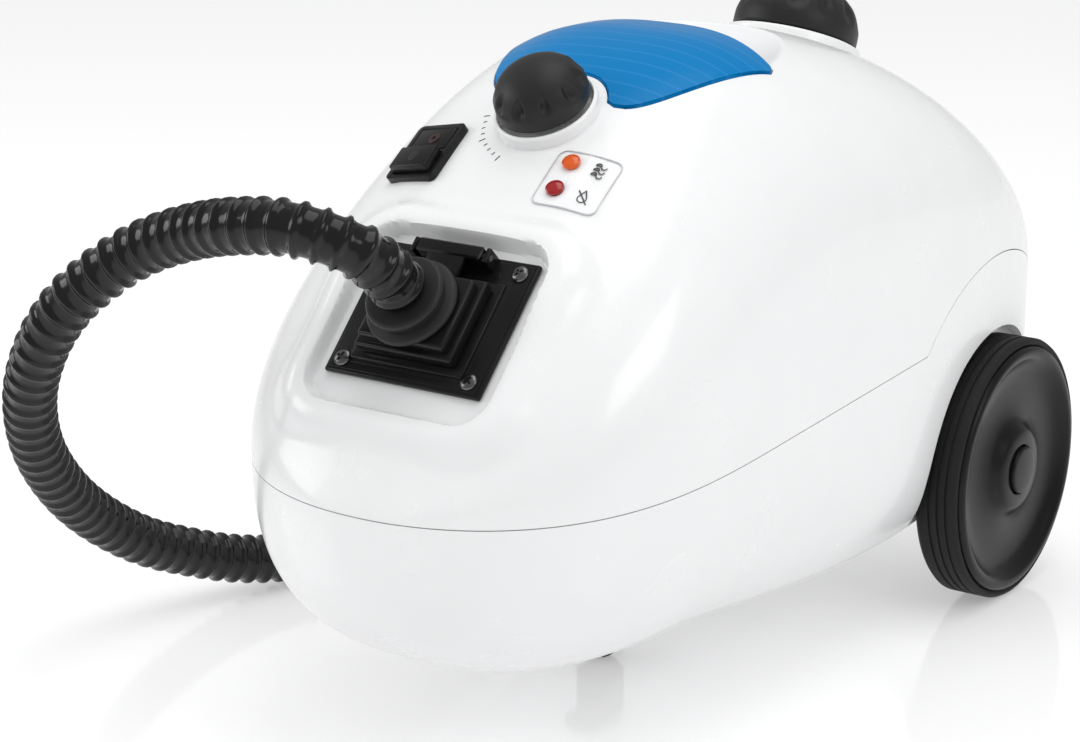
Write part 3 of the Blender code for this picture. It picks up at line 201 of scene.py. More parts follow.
WHITE = Finish("white_gloss_plastic", (0.775, 0.78, 0.785), 0.26, coat=0.30, grain=420.0,
               depth=0.00001, mottle=0.012)
BLACK = Finish("black_gloss_plastic", (0.006, 0.006, 0.0065), 0.22, coat=0.06, grain=700.0,
               depth=0.000015, mottle=0.25, shine=0.22)
WHEEL_BLACK = Finish("wheel_gloss_plastic", (0.006, 0.006, 0.0065), 0.30, coat=0.03, grain=600.0,
                     depth=0.000015, mottle=0.25, shine=0.20)
SATIN = Finish("satin_soft_plastic", (0.016, 0.016, 0.017), 0.44, grain=2600.0, depth=0.00005,
               mottle=0.18, shine=0.30)
RUBBER = Finish("moulded_rubber", (0.010, 0.010, 0.0105), 0.60, grain=1500.0, depth=0.00006,
                mottle=0.2, shine=0.25)
HOSE_BLACK = Finish("hose_vinyl", (0.005, 0.005, 0.0055), 0.16, coat=0.10, grain=300.0,
                    depth=0.00004, mottle=0.25, shine=0.30)
BLUE = LidFinish("tinted_blue_plastic", (0.0, 0.165, 0.420), 0.24, coat=0.02, grain=300.0,
                 depth=0.00001, mottle=0.04, shine=0.08)
PANEL = Finish("panel_film", (0.79, 0.795, 0.80), 0.34, grain=1500.0, depth=0.00001, mottle=0.01)
PRINT = Finish("dark_print", (0.05, 0.05, 0.055), 0.5, grain=2000.0, depth=0.00001, mottle=0.1)
LINE = Finish("pale_grey_print", (0.52, 0.53, 0.55), 0.5, grain=2000.0, depth=0.00001, mottle=0.05)
AMBER = Finish("ready_lens_amber", (0.58, 0.085, 0.006), 0.14, coat=0.3, grain=1800.0,
               depth=0.00006, glow=0.06)
RED = Finish("water_lens_red", (0.28, 0.006, 0.008), 0.14, coat=0.3, grain=1800.0,
             depth=0.00006, glow=0.03)
LAMP = Finish("switch_lamp", (0.035, 0.012, 0.006), 0.3, mottle=0.2, shine=0.3)
STEEL = Finish("plain_steel", (0.56, 0.56, 0.57), 0.30, metallic=1.0, grain=1200.0,
               depth=0.00002, mottle=0.08)
DARK_STEEL = Finish("blackened_steel", (0.16, 0.16, 0.165), 0.26, metallic=1.0, grain=1200.0,
                    depth=0.00002, mottle=0.12)
BRASS = Finish("turned_brass", (0.72, 0.50, 0.20), 0.30, metallic=1.0, grain=1200.0,
               depth=0.00002, mottle=0.08)
TANK = Finish("pale_tank_plastic", (0.62, 0.68, 0.72), 0.35, grain=700.0, depth=0.00002,
              mottle=0.03, transmission=0.25)
SILICONE = Finish("silicone_tube", (0.70, 0.69, 0.64), 0.5, grain=900.0, depth=0.00003)
BOARD = Finish("circuit_board", (0.02, 0.15, 0.06), 0.4, grain=400.0, depth=0.0001, mottle=0.3)


# ---------------------------------------------------------------- modelling helpers

def deselect() -> None:
    """Leaves edit mode and clears the selection."""
    if bpy.context.mode != "OBJECT":
        bpy.ops.object.mode_set(mode="OBJECT")
    bpy.ops.object.select_all(action="DESELECT")


def activate(piece: bpy.types.Object) -> bpy.types.Object:
    """Selects one object alone and makes it active."""
    deselect()
    piece.select_set(True)
    bpy.context.view_layer.objects.active = piece
    return piece


def apply_modifiers(piece: bpy.types.Object) -> None:
    """Applies every modifier of a piece in its order."""
    activate(piece)
    for modifier in list(piece.modifiers):
        bpy.ops.object.modifier_apply(modifier=modifier.name)


def settle(piece: bpy.types.Object, place: Matrix | None = None) -> bpy.types.Object:
    """Moves an object's place into its mesh.

    Args:
        piece: the object.
        place: a further transform from the piece's own frame to the machine's.

    Returns:
        The object, at the origin.
    """
    apply_modifiers(piece)
    bpy.context.view_layer.update()
    piece.data.transform(piece.matrix_world)
    piece.matrix_world = Matrix.Identity(4)
    if place is not None:
        piece.data.transform(place)
    return piece


def smooth(piece: bpy.types.Object, angle: float = 32.0) -> None:
    """Shades a piece smoothly, with edges sharper than an angle in degrees left crisp."""
    activate(piece)
    bpy.ops.object.shade_smooth_by_angle(angle=math.radians(angle))


def round_edges(piece: bpy.types.Object, width: float, segments: int = 3,
                angle: float = 35.0) -> None:
    """Rounds a piece's sharp edges with an applied bevel."""
    bevel = piece.modifiers.new("edges", "BEVEL")
    bevel.width = width
    bevel.segments = segments
    bevel.limit_method = "ANGLE"
    bevel.angle_limit = math.radians(angle)
    apply_modifiers(piece)


def finish_as(piece: bpy.types.Object, finish: Finish, body: str, slot: str,
              *nodes: str) -> bpy.types.Object:
    """Dresses a piece and ties it to its body.

    Args:
        piece: the new piece.
        finish: the surface it gets.
        body: the body that it rides on.
        slot: the record's material slot; not used.
        nodes: the CAD nodes that it stands for.

    Returns:
        The piece.
    """
    piece.data.materials.clear()
    piece.data.materials.append(finish.material())
    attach(piece, body)
    if nodes:
        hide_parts(*nodes)
    LOG.info("%s: %d faces", piece.name, len(piece.data.polygons))
    return piece


def block(name: str, size: Point, centre: Point = (0, 0, 0), corner: float = 0.0,
          edge: float = 0.0) -> bpy.types.Object:
    """A block with rounded upright corners and softened edges.

    Args:
        name: the piece's name.
        size: its extents.
        centre: its centre.
        corner: radius of the upright corners.
        edge: width of the softening on every edge.

    Returns:
        The new object, with its place in its mesh.
    """
    deselect()
    bpy.ops.mesh.primitive_cube_add(size=1.0, location=centre, scale=size)
    piece = bpy.context.object
    piece.name = name
    if corner:
        bpy.ops.object.mode_set(mode="EDIT")
        bpy.ops.mesh.select_all(action="DESELECT")
        bpy.ops.object.mode_set(mode="OBJECT")
        for line in piece.data.edges:
            low, high = (piece.data.vertices[index].co for index in line.vertices)
            line.select = abs(low.z - high.z) > 0.5
        bpy.ops.object.transform_apply(location=False, rotation=False, scale=True)
        bpy.ops.object.mode_set(mode="EDIT")
        bpy.ops.mesh.select_mode(type="EDGE")
        bpy.ops.mesh.bevel(offset=corner, segments=8, affect="EDGES")
        bpy.ops.object.mode_set(mode="OBJECT")
    settle(piece)
    if edge:
        round_edges(piece, edge)
    return piece


def lathe(name: str, profile: Outline, steps: int = 96) -> bpy.types.Object:
    """A turned piece about the Z axis.

    Args:
        name: the piece's name.
        profile: points of (radius, height); a closed profile ends where it starts.
        steps: sides of the turned surface.

    Returns:
        The new object.
    """
    deselect()
    bpy.ops.mesh.primitive_plane_add(size=0.001)
    piece = bpy.context.object
    piece.name = name
    bpy.ops.object.mode_set(mode="EDIT")
    bpy.ops.mesh.select_mode(type="VERT")
    bpy.ops.mesh.select_all(action="SELECT")
    bpy.ops.mesh.merge(type="CENTER")
    bpy.ops.transform.translate(value=(profile[0][0], 0, profile[0][1]))
    for (near, low), (far, high) in zip(profile, profile[1:]):
        bpy.ops.mesh.extrude_vertices_move(
            TRANSFORM_OT_translate={"value": (far - near, 0, high - low)})
    bpy.ops.mesh.select_all(action="SELECT")
    bpy.ops.mesh.remove_doubles(threshold=0.000005)
    bpy.ops.object.mode_set(mode="OBJECT")
    screw = piece.modifiers.new("turn", "SCREW")
    screw.steps = steps
    screw.render_steps = steps
    screw.use_merge_vertices = True
    screw.merge_threshold = 0.00001
    apply_modifiers(piece)
    close_up(piece)
    return piece


def close_up(piece: bpy.types.Object) -> None:
    """Merges a piece's doubled points and turns its faces outwards."""
    activate(piece)
    bpy.ops.object.mode_set(mode="EDIT")
    bpy.ops.mesh.select_all(action="SELECT")
    bpy.ops.mesh.remove_doubles(threshold=0.000008)
    bpy.ops.mesh.normals_make_consistent(inside=False)
    bpy.ops.object.mode_set(mode="OBJECT")


def arc(centre: tuple[float, float], radius: float, start: float, end: float,
        steps: int = 6) -> Outline:
    """Points of a round stretch of a profile, with angles in degrees."""
    points = []
    for index in range(steps + 1):
        angle = math.radians(start + (end - start) * index / steps)
        points.append((centre[0] + radius * math.cos(angle), centre[1] + radius * math.sin(angle)))
    return points


def cut(piece: bpy.types.Object, cutter: bpy.types.Object, how: str = "DIFFERENCE") -> None:
    """Cuts a piece with another one, which is then removed."""
    modifier = piece.modifiers.new("cut", "BOOLEAN")
    modifier.operation = how
    modifier.object = cutter
    modifier.solver = "EXACT"
    modifier.material_mode = "TRANSFER"
    apply_modifiers(piece)
    bpy.data.objects.remove(cutter, do_unlink=True)


def refined(node: str, edge: float = 0.0, angle: float = 30.0) -> bpy.types.Object:
    """A smooth copy of a CAD node with softened edges.

    Args:
        node: the CAD node.
        edge: width of the softening.
        angle: edges sharper than this, in degrees, stay crisp.

    Returns:
        The copy, named after the node.
    """
    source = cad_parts[node]
    piece = bpy.data.objects.new(f"{node}_look", source.data.copy())
    bpy.context.scene.collection.objects.link(piece)
    close_up(piece)
    activate(piece)
    bpy.ops.object.mode_set(mode="EDIT")
    bpy.ops.mesh.select_all(action="SELECT")
    bpy.ops.mesh.dissolve_limited(angle_limit=math.radians(1.0))
    bpy.ops.object.mode_set(mode="OBJECT")
    if edge:
        round_edges(piece, edge, 2)
    smooth(piece, angle)
    return piece


def axes_at(origin: Vector, normal: Vector) -> Matrix:
    """A frame whose Z is the normal and whose X lies level to the machine's right."""
    up = normal.normalized()
    across = (Vector((1, 0, 0)) - up * up.x).normalized()
    along = up.cross(across)
    turn = Matrix((across, along, up)).transposed().to_4x4()
    return Matrix.Translation(origin) @ turn


def ease(value: float) -> float:
    """A smooth step from 0 to 1."""
    share = min(1.0, max(0.0, value))
    return share * share * (3 - 2 * share)


def rounded_distance(x: float, y: float, half_x: float, half_y: float, corner: float) -> float:
    """Distance outside a rounded rectangle about the origin, negative inside it."""
    over_x, over_y = abs(x) - half_x + corner, abs(y) - half_y + corner
    outside = math.hypot(max(over_x, 0.0), max(over_y, 0.0))
    return outside + min(max(over_x, over_y), 0.0) - corner


# ---------------------------------------------------------------- body form

@dataclass
class BodyForm:
    """The egg-shaped body as a formula: plan, crown, keel and squareness of its sections."""

    nose: float = -0.2512
    tail: float = 0.2512
    half_width: float = 0.119
    crown: float = 0.316
    keel: float = 0.033
    seam: float = 0.130
    seam_rise: float = 0.06
    top_square: float = 2.75
    keel_square: tuple[float, float] = (2.5, 4.6)
    plan_outline: tuple[float, ...] = (-0.0698, 3.4, 2.05, 6.5, 4.0)
    crown_outline: tuple[float, ...] = (-0.0168, 1.56, 1.14, 2.0, 1.8)
    keel_outline: tuple[float, ...] = (-0.0858, 3.1, 2.9, 5.0, 2.5)
    stations: int = 170
    sides: int = 176

    def swell(self, y: float, outline: tuple[float, ...]) -> float:
        """Share of its full size that an outline has at y."""
        peak, front_power, front_root, rear_power, rear_root = outline
        if y < peak:
            share = min(1.0, (peak - y) / (peak - self.nose))
            return max(0.0, 1.0 - share ** front_power) ** (1.0 / front_root)
        share = min(1.0, (y - peak) / (self.tail - peak))
        return max(0.0, 1.0 - share ** rear_power) ** (1.0 / rear_root)

    def widest(self, y: float) -> float:
        """Height of the widest line at y."""
        return self.seam + self.seam_rise * (y - self.nose)

    def section(self, y: float) -> tuple[float, float, float, float]:
        """Half width, widest height, top and bottom of the section at y."""
        middle = self.widest(y)
        return (self.half_width * self.swell(y, self.plan_outline), middle,
                middle + (self.crown - middle) * self.swell(y, self.crown_outline),
                middle - (middle - self.keel) * self.swell(y, self.keel_outline))

    def squareness(self, y: float) -> float:
        """Squareness of the lower half of the section at y."""
        low, high = self.keel_square
        return low + (high - low) * ease((y + 0.12) / 0.20)

    def top(self, x: float, y: float) -> float:
        """Height of the upper surface over a point of the plan."""
        half, middle, top, _ = self.section(y)
        share = min(1.0, abs(x) / max(half, 1e-6))
        return middle + (top - middle) * (1 - share ** self.top_square) ** (1 / self.top_square)

    def frame_on(self, x: float, y: float) -> Matrix:
        """A frame on the upper surface with Z along its normal."""
        step = 0.002
        slope_x = (self.top(x + step, y) - self.top(x - step, y)) / (2 * step)
        slope_y = (self.top(x, y + step) - self.top(x, y - step)) / (2 * step)
        return axes_at(Vector((x, y, self.top(x, y))), Vector((-slope_x, -slope_y, 1.0)))

    def solid(self, name: str, grow: float = 0.0) -> bpy.types.Object:
        """The closed body as a loft between sections that differ.

        Args:
            name: the object's name.
            grow: how far the surface stands outside the body.

        Returns:
            The new object.
        """
        mesh = bmesh.new()
        middle_y, half_length = (self.nose + self.tail) / 2, (self.tail - self.nose) / 2
        rings = []
        for index in range(1, self.stations):
            y = middle_y - half_length * math.cos(math.pi * index / self.stations)
            half, middle, top, bottom = self.section(y)
            ring = []
            for side in range(self.sides):
                angle = 2 * math.pi * side / self.sides
                square = self.top_square if math.sin(angle) >= 0 else self.squareness(y)
                across = math.copysign(abs(math.cos(angle)) ** (2 / square), math.cos(angle))
                rise = math.copysign(abs(math.sin(angle)) ** (2 / square), math.sin(angle))
                reach = (top - middle if rise >= 0 else middle - bottom) + grow
                ring.append(mesh.verts.new(((half + grow) * across,
                                            middle_y + (y - middle_y) * (1 + grow / half_length),
                                            middle + reach * rise)))
            rings.append(ring)
        for near, far in zip(rings, rings[1:]):
            for side in range(self.sides):
                after = (side + 1) % self.sides
                mesh.faces.new((near[side], near[after], far[after], far[side]))
        for ring, end in ((rings[0], self.nose - grow), (rings[-1], self.tail + grow)):
            pole = mesh.verts.new((0.0, end, self.widest(end)))
            for side in range(self.sides):
                mesh.faces.new((ring[side], ring[(side + 1) % self.sides], pole))
        bmesh.ops.recalc_face_normals(mesh, faces=mesh.faces)
        data = bpy.data.meshes.new(name)
        mesh.to_mesh(data)
        mesh.free()
        piece = bpy.data.objects.new(name, data)
        bpy.context.scene.collection.objects.link(piece)
        return piece


@dataclass
class Housings:
    """The two moulded shells, with the socket pocket, scoop, lid opening and wheel wells.

    Attributes:
        body: the form that both shells follow.
        socket: the frame of the plate on the nose.
    """

    body: BodyForm
    socket: Matrix
    wall: float = 0.0025
    seam_gap: float = 0.0005
    pocket_half: tuple[float, float] = (0.052, 0.048)
    pocket_drop: float = 0.004
    pocket_corner: float = 0.017
    pocket_floor: float = -0.0034
    pocket_slope: float = 0.0034
    brow: float = 0.0052
    lip: float = 0.0030
    brow_spread: float = 0.0135
    scoop_half: tuple[float, float, float] = (0.079, 0.080, 0.025)
    scoop_centre: tuple[float, float] = (-0.020, 0.010)
    scoop_start: float = -0.020
    tub_floor: float = 0.2612
    strainer_hole: float = 0.0294
    strainer_y: float = -0.012
    lid_front: float = 0.0292
    lid_half: float = 0.070
    lid_front_y: float = -0.086
    lid_tip_y: float = -0.012
    lid_rear_y: float = 0.004
    lid_hollow: float = 0.0284
    lid_hollow_y: float = -0.097
    wheel_radius: float = 0.070
    arch_gap: float = 0.005
    arch_inner: float = 0.1035
    axle_y: float = 0.1512
    seam_arch: float = 0.115

    def pocket_distance(self, place: Vector) -> float:
        """Distance of a point in the socket's frame outside the pocket's outline."""
        return rounded_distance(place.x, place.y + self.pocket_drop, *self.pocket_half,
                                self.pocket_corner)

    def with_pocket(self, point: Vector) -> Vector:
        """Where a point of the body goes when the pocket and its brow are pressed in."""
        place = self.socket.inverted() @ point
        away = self.pocket_distance(place)
        if away > 0.045 or place.z < -0.035:
            return point
        height = place.z
        rise = self.lip + (self.brow - self.lip) * ease((place.y + 0.015) / 0.04)
        crest = rise - (away - 0.002) ** 2 / (2 * self.brow_spread)
        soft = 0.0035
        blend = min(1.0, max(0.0, 0.5 + (crest - height) / (2 * soft)))
        height = height + (crest - height) * blend + soft * blend * (1 - blend)
        inward = ease(-away / self.pocket_slope)
        height += (self.pocket_floor - height) * inward
        return self.socket @ Vector((place.x, place.y, height))

    def with_scoop(self, point: Vector) -> Vector:
        """Where a point of the crown goes when the finger scoop is pressed in."""
        if point.z < 0.24 or point.y < self.scoop_start:
            return point
        half_x, half_y, half_z = self.scoop_half
        spread = (point.x / half_x) ** 2 + ((point.y - self.scoop_centre[0]) / half_y) ** 2
        if spread >= 1.25:
            return point
        centre_z = self.body.top(0, self.scoop_centre[1]) + 0.002
        bowl = centre_z - half_z * math.sqrt(max(0.0, 1 - spread))
        if spread >= 1.0:
            bowl = centre_z + 0.06 * (spread - 1.0)
        soft = 0.0012
        blend = min(1.0, max(0.0, 0.5 + (point.z - bowl) / (2 * soft)))
        height = point.z + (bowl - point.z) * blend - soft * blend * (1 - blend)
        share = ease((point.y - self.scoop_start) / 0.006)
        return Vector((point.x, point.y, point.z + (height - point.z) * share))

    def pressed_body(self, name: str) -> bpy.types.Object:
        """The dense body with its pocket and scoop pressed in."""
        piece = self.body.solid(name)
        mesh = bmesh.new()
        mesh.from_mesh(piece.data)
        inverse = self.socket.inverted()
        for reach in (0.016, 0.010):
            lines = set()
            for face in mesh.faces:
                centre = face.calc_center_median()
                place = inverse @ centre
                near_pocket = abs(self.pocket_distance(place)) < reach and place.z > -0.03
                spread = ((centre.x / self.scoop_half[0]) ** 2
                          + ((centre.y - self.scoop_centre[0]) / self.scoop_half[1]) ** 2)
                near_scoop = (centre.z > 0.27 and centre.y > self.scoop_start
                              and abs(spread - 0.93) < 12 * reach)
                if near_pocket or near_scoop:
                    lines.update(face.edges)
            bmesh.ops.subdivide_edges(mesh, edges=list(lines), cuts=1, use_grid_fill=True)
        for vertex in mesh.verts:
            vertex.co = self.with_scoop(self.with_pocket(vertex.co))
        bmesh.ops.recalc_face_normals(mesh, faces=mesh.faces)
        mesh.to_mesh(piece.data)
        mesh.free()
        return piece

    def lid_outline(self, grow: float) -> Outline:
        """Plan outline of the lid: curved sides, a hollow round the dial and a bowed rear edge."""
        right = []
        hollow = self.lid_hollow - grow
        for index in range(9):
            angle = math.radians(8 * index)
            right.append((hollow * math.sin(angle), self.lid_hollow_y + hollow * math.cos(angle)))
        right.append((self.lid_front + grow, self.lid_front_y - grow))
        span = self.lid_tip_y - self.lid_front_y
        for index in range(1, 24):
            share = index / 24
            across = self.lid_front + (self.lid_half - self.lid_front) * share ** 0.62
            right.append((across + grow,
                          self.lid_front_y - grow * (1 - share) + span * share ** 1.35))
        right.append((self.lid_half + grow, self.lid_tip_y))
        corner = self.lid_half * 0.975
        right.append((corner + grow, self.lid_tip_y + 0.004 + grow))
        bow = self.lid_rear_y - self.lid_tip_y - 0.004
        for index in range(1, 16):
            share = index / 16
            right.append((corner * (1 - share), self.lid_rear_y - bow * (1 - share) ** 2 + grow))
        left = [(-x, y) for x, y in reversed(right[1:])]
        return right + [(0.0, self.lid_rear_y + grow)] + left

    def seam_line(self, shift: float) -> Outline:
        """The seam in the side view: a gentle rise, an arc over the wheel and a level tail."""
        start_y = self.body.nose - 0.05
        points = [(start_y, self.body.widest(start_y) + shift)]
        kink = self.body.widest(self.axle_y - 0.085)
        reach = math.sqrt(self.seam_arch ** 2 - (kink - self.wheel_radius) ** 2)
        start = math.degrees(math.atan2(kink - self.wheel_radius, -reach))
        points += [(y, z + shift) for y, z in arc((self.axle_y, self.wheel_radius),
                                                  self.seam_arch, start, 180 - start, 36)]
        return points + [(self.body.tail + 0.05, kink + shift)]

    @staticmethod
    def prism(name: str, outline: Outline, low: float, high: float,
              sideways: bool = False) -> bpy.types.Object:
        """A straight cutter from an outline, upright or lying along X.

        Args:
            name: the cutter's name.
            outline: its corners.
            low: where it starts.
            high: where it ends.
            sideways: True for an outline of (y, z) swept along X.

        Returns:
            The cutter, whose faces carry a marking material.
        """
        mesh = bmesh.new()
        points = [(low, a, b) if sideways else (a, b, low) for a, b in outline]
        base = mesh.faces.new([mesh.verts.new(point) for point in points])
        swept = bmesh.ops.extrude_face_region(mesh, geom=[base])
        shift = (high - low, 0, 0) if sideways else (0, 0, high - low)
        moved = [part for part in swept["geom"] if isinstance(part, bmesh.types.BMVert)]
        bmesh.ops.translate(mesh, vec=shift, verts=moved)
        bmesh.ops.recalc_face_normals(mesh, faces=mesh.faces)
        data = bpy.data.meshes.new(name)
        mesh.to_mesh(data)
        mesh.free()
        piece = bpy.data.objects.new(name, data)
        bpy.context.scene.collection.objects.link(piece)
        marker = bpy.data.materials.get("cut_mark") or bpy.data.materials.new("cut_mark")
        piece.data.materials.append(marker)
        return piece

    def open_marked(self, piece: bpy.types.Object, keep: bool = False) -> None:
        """Opens a solid into a shell and gives it its wall.

        Args:
            piece: the solid, cut by marked cutters.
            keep: True keeps the faces that the cutters left and deletes all others.
        """
        marked = {index for index, material in enumerate(piece.data.materials)
                  if material and material.name == "cut_mark"}
        mesh = bmesh.new()
        mesh.from_mesh(piece.data)
        faces = [face for face in mesh.faces if (face.material_index in marked) != keep]
        bmesh.ops.delete(mesh, geom=faces, context="FACES")
        for face in mesh.faces:
            face.material_index = 0
        bmesh.ops.remove_doubles(mesh, verts=mesh.verts, dist=0.00004)
        mesh.to_mesh(piece.data)
        mesh.free()
        wall = piece.modifiers.new("wall", "SOLIDIFY")
        wall.thickness = self.wall
        wall.offset = -1.0
        apply_modifiers(piece)
        smooth(piece, 38.0)

    def build_tub(self) -> None:
        """The white tub under the lid, open to the scoop, with a hole for the strainer."""
        tub = self.body.solid("filler_tub", -0.0034)
        tub.data.materials.append(WHITE.material())
        cut(tub, self.prism("tub_walls", self.lid_outline(0.0042), self.tub_floor, 0.4),
            "INTERSECT")
        deselect()
        bpy.ops.mesh.primitive_uv_sphere_add(
            segments=96, ring_count=48, radius=1.0, scale=self.scoop_half,
            location=(0, self.scoop_centre[0], self.body.top(0, self.scoop_centre[1]) + 0.0005))
        bowl = settle(bpy.context.object)
        bowl.data.materials.append(WHITE.material())
        rear = block("tub_rear", (0.2, 0.1, 0.2), (0, self.scoop_start + 0.05, 0.3))
        cut(bowl, rear, "INTERSECT")
        cut(tub, bowl)
        self.open_marked(tub, True)
        deselect()
        bpy.ops.mesh.primitive_cylinder_add(vertices=96, radius=self.strainer_hole, depth=0.05,
                                            location=(0, self.strainer_y, self.tub_floor))
        cut(tub, settle(bpy.context.object))
        smooth(tub, 38.0)
        finish_as(tub, WHITE, "base", "white_gloss")

    def build(self, switch: Matrix, switch_size: tuple[float, float]) -> None:
        """Builds and dresses both shells.

        Args:
            switch: the frame of the switch bezel.
            switch_size: size of the hole under the bezel.
        """
        upper = self.pressed_body("top_shell")
        upper.data.materials.append(WHITE.material())
        lower = self.body.solid("bottom_shell")
        lower.data.materials.append(WHITE.material())
        start, end = self.body.nose - 0.05, self.body.tail + 0.05
        cut(upper, self.prism("below_seam", [(start, -0.1)] + self.seam_line(self.seam_gap / 2)
                              + [(end, -0.1)], -0.2, 0.2, True))
        cut(upper, self.prism("lid_hole", self.lid_outline(0.0008), 0.2, 0.4))
        hole = block("switch_hole", (*switch_size, 0.05))
        hole.data.transform(switch)
        hole.data.materials.append(bpy.data.materials["cut_mark"])
        cut(upper, hole)
        self.open_marked(upper)
        finish_as(upper, WHITE, "base", "white_gloss", "upper_housing")
        cut(lower, self.prism("above_seam", [(start, 0.5)] + self.seam_line(-self.seam_gap / 2)
                              + [(end, 0.5)], -0.2, 0.2, True))
        for side in Side:
            deselect()
            bpy.ops.mesh.primitive_cylinder_add(
                vertices=128, radius=self.wheel_radius + self.arch_gap, depth=0.1,
                location=(side.value * (self.arch_inner + 0.05), self.axle_y, self.wheel_radius),
                rotation=(0, math.pi / 2, 0))
            well = settle(bpy.context.object)
            well.data.materials.append(WHITE.material())
            cut(lower, well)
        self.open_marked(lower)
        finish_as(lower, WHITE, "base", "white_gloss", "lower_housing")
        self.build_tub()
        lid = self.body.solid("lid_shell", 0.0010)
        plug = self.prism("lid_plug", self.lid_outline(0.0), 0.24, 0.4)
        lid.data.materials.append(BLUE.material())
        cut(lid, plug, "INTERSECT")
        self.open_marked(lid)
        round_edges(lid, 0.0005, 2, 50.0)
        smooth(lid, 40.0)
        finish_as(lid, BLUE, "tank_lid", "blue_translucent")
        lugs = refined("tank_lid")
        keep_low(lugs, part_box("hinge_pin")[1][2] + 0.0035)
        finish_as(lugs, BLUE, "tank_lid", "blue_translucent", "tank_lid")


def keep_low(piece: bpy.types.Object, height: float) -> None:
    """Cuts away what stands above a height and closes the cut."""
    activate(piece)
    bpy.ops.object.mode_set(mode="EDIT")
    bpy.ops.mesh.select_all(action="SELECT")
    bpy.ops.mesh.bisect(plane_co=(0, 0, height), plane_no=(0, 0, 1), use_fill=True,
                        clear_outer=True)
    bpy.ops.object.mode_set(mode="OBJECT")


# ---------------------------------------------------------------- hose

@dataclass
class Hose:
    """The ribbed steam hose: listed points, half a turn on the floor."""

    diameter: float = 0.027
    length: float = 1.47
    rest: float = 0.0138
    coil_centre: tuple[float, float] = (-0.222, 0.370)
    coil_radius: float = 0.130
    rib_pitch: float = 0.0093
    rib_height: float = 0.0021
    sides: int = 28
    rings_per_rib: int = 9

    def route(self) -> list[Vector]:
        """The points that the hose's centre line passes through."""
        lie = self.rest
        points = [(0.0, -0.21240, 0.22560), (0.0, -0.22314, 0.23604), (-0.006, -0.2380, 0.2485),
                  (-0.029, -0.2510, 0.2570), (-0.058, -0.2540, 0.2550), (-0.090, -0.2500, 0.2470),
                  (-0.118, -0.2510, 0.2360), (-0.139, -0.2570, 0.2220), (-0.158, -0.2620, 0.2040),
                  (-0.177, -0.2600, 0.1800), (-0.196, -0.2490, 0.1510), (-0.212, -0.2290, 0.1190),
                  (-0.223, -0.2020, 0.0890), (-0.228, -0.1730, 0.0640), (-0.226, -0.1420, 0.0430),
                  (-0.220, -0.1120, 0.0290), (-0.211, -0.0840, 0.0190), (-0.201, -0.0560, lie),
                  (-0.192, -0.0250, lie), (-0.186, 0.0100, lie), (-0.182, 0.0500, lie),
                  (-0.177, 0.0950, lie), (-0.170, 0.1400, lie), (-0.162, 0.1850, lie),
                  (-0.147, 0.2270, lie), (-0.127, 0.2670, lie), (-0.107, 0.3050, lie),
                  (-0.0955, 0.3370, lie), (-0.092, 0.3700, lie)]
        for index in range(1, 11):
            angle = math.radians(20 * index)
            points.append((self.coil_centre[0] + self.coil_radius * math.cos(angle),
                           self.coil_centre[1] + self.coil_radius * math.sin(angle), lie))
        points += [(-0.3391, 0.3115, 0.0146), (-0.3339, 0.2974, 0.0150),
                   (-0.3289, 0.2836, 0.0150)]
        return [Vector(point) for point in points]

    @staticmethod
    def even_path(points: list[Vector], spacing: float) -> list[Vector]:
        """Evenly spaced points on a smooth curve through the given points."""
        fine = [points[0]]
        for index in range(len(points) - 1):
            start, end = points[index], points[index + 1]
            before, after = points[max(index - 1, 0)], points[min(index + 2, len(points) - 1)]
            first, last = (end - before) / 2, (after - start) / 2
            for step in range(1, 17):
                t = step / 16
                fine.append(start * (2 * t ** 3 - 3 * t ** 2 + 1)
                            + first * (t ** 3 - 2 * t ** 2 + t)
                            + end * (3 * t ** 2 - 2 * t ** 3) + last * (t ** 3 - t ** 2))
        total = sum((b - a).length for a, b in zip(fine, fine[1:]))
        count = max(2, round(total / spacing))
        step, path, walked = total / count, [fine[0]], 0.0
        for near, far in zip(fine, fine[1:]):
            stretch = (far - near).length
            while len(path) < count and walked + stretch >= step * len(path):
                share = (step * len(path) - walked) / stretch
                path.append(near.lerp(far, share))
            walked += stretch
        return path + [fine[-1]]

    def build(self) -> bpy.types.Object:
        spacing = self.rib_pitch / self.rings_per_rib
        path = self.even_path(self.route(), spacing)
        mesh = bmesh.new()
        rings = []
        side_way = Vector((1, 0, 0))
        for index, centre in enumerate(path):
            ahead = (path[min(index + 1, len(path) - 1)] - path[max(index - 1, 0)]).normalized()
            side_way = (side_way - ahead * side_way.dot(ahead)).normalized()
            up_way = ahead.cross(side_way)
            radius = self.radius_at(index / self.rings_per_rib)
            rings.append([mesh.verts.new(centre + radius * (math.cos(turn) * side_way
                                                            + math.sin(turn) * up_way))
                          for turn in (2 * math.pi * side / self.sides
                                       for side in range(self.sides))])
        for near, far in zip(rings, rings[1:]):
            for side in range(self.sides):
                after = (side + 1) % self.sides
                mesh.faces.new((near[side], near[after], far[after], far[side]))
        mesh.faces.new(rings[0][::-1])
        mesh.faces.new(rings[-1])
        bmesh.ops.recalc_face_normals(mesh, faces=mesh.faces)
        data = bpy.data.meshes.new("ribbed_hose")
        mesh.to_mesh(data)
        mesh.free()
        hose = bpy.data.objects.new("ribbed_hose", data)
        bpy.context.scene.collection.objects.link(hose)
        smooth(hose, 60.0)
        finish_as(hose, HOSE_BLACK, "base", "soft_black", "steam_hose")
        self.path = [tuple(point) for point in path[::4]] + [tuple(path[-1])]
        return hose

    def radius_at(self, turn: float) -> float:
        """Radius at a place along the hose, counted in ribs: narrow round crests on a waist."""
        phase = turn % 1.0
        crest = math.exp(-((phase - 0.5) / 0.14) ** 2)
        return self.diameter / 2 - self.rib_height * (1 - crest)

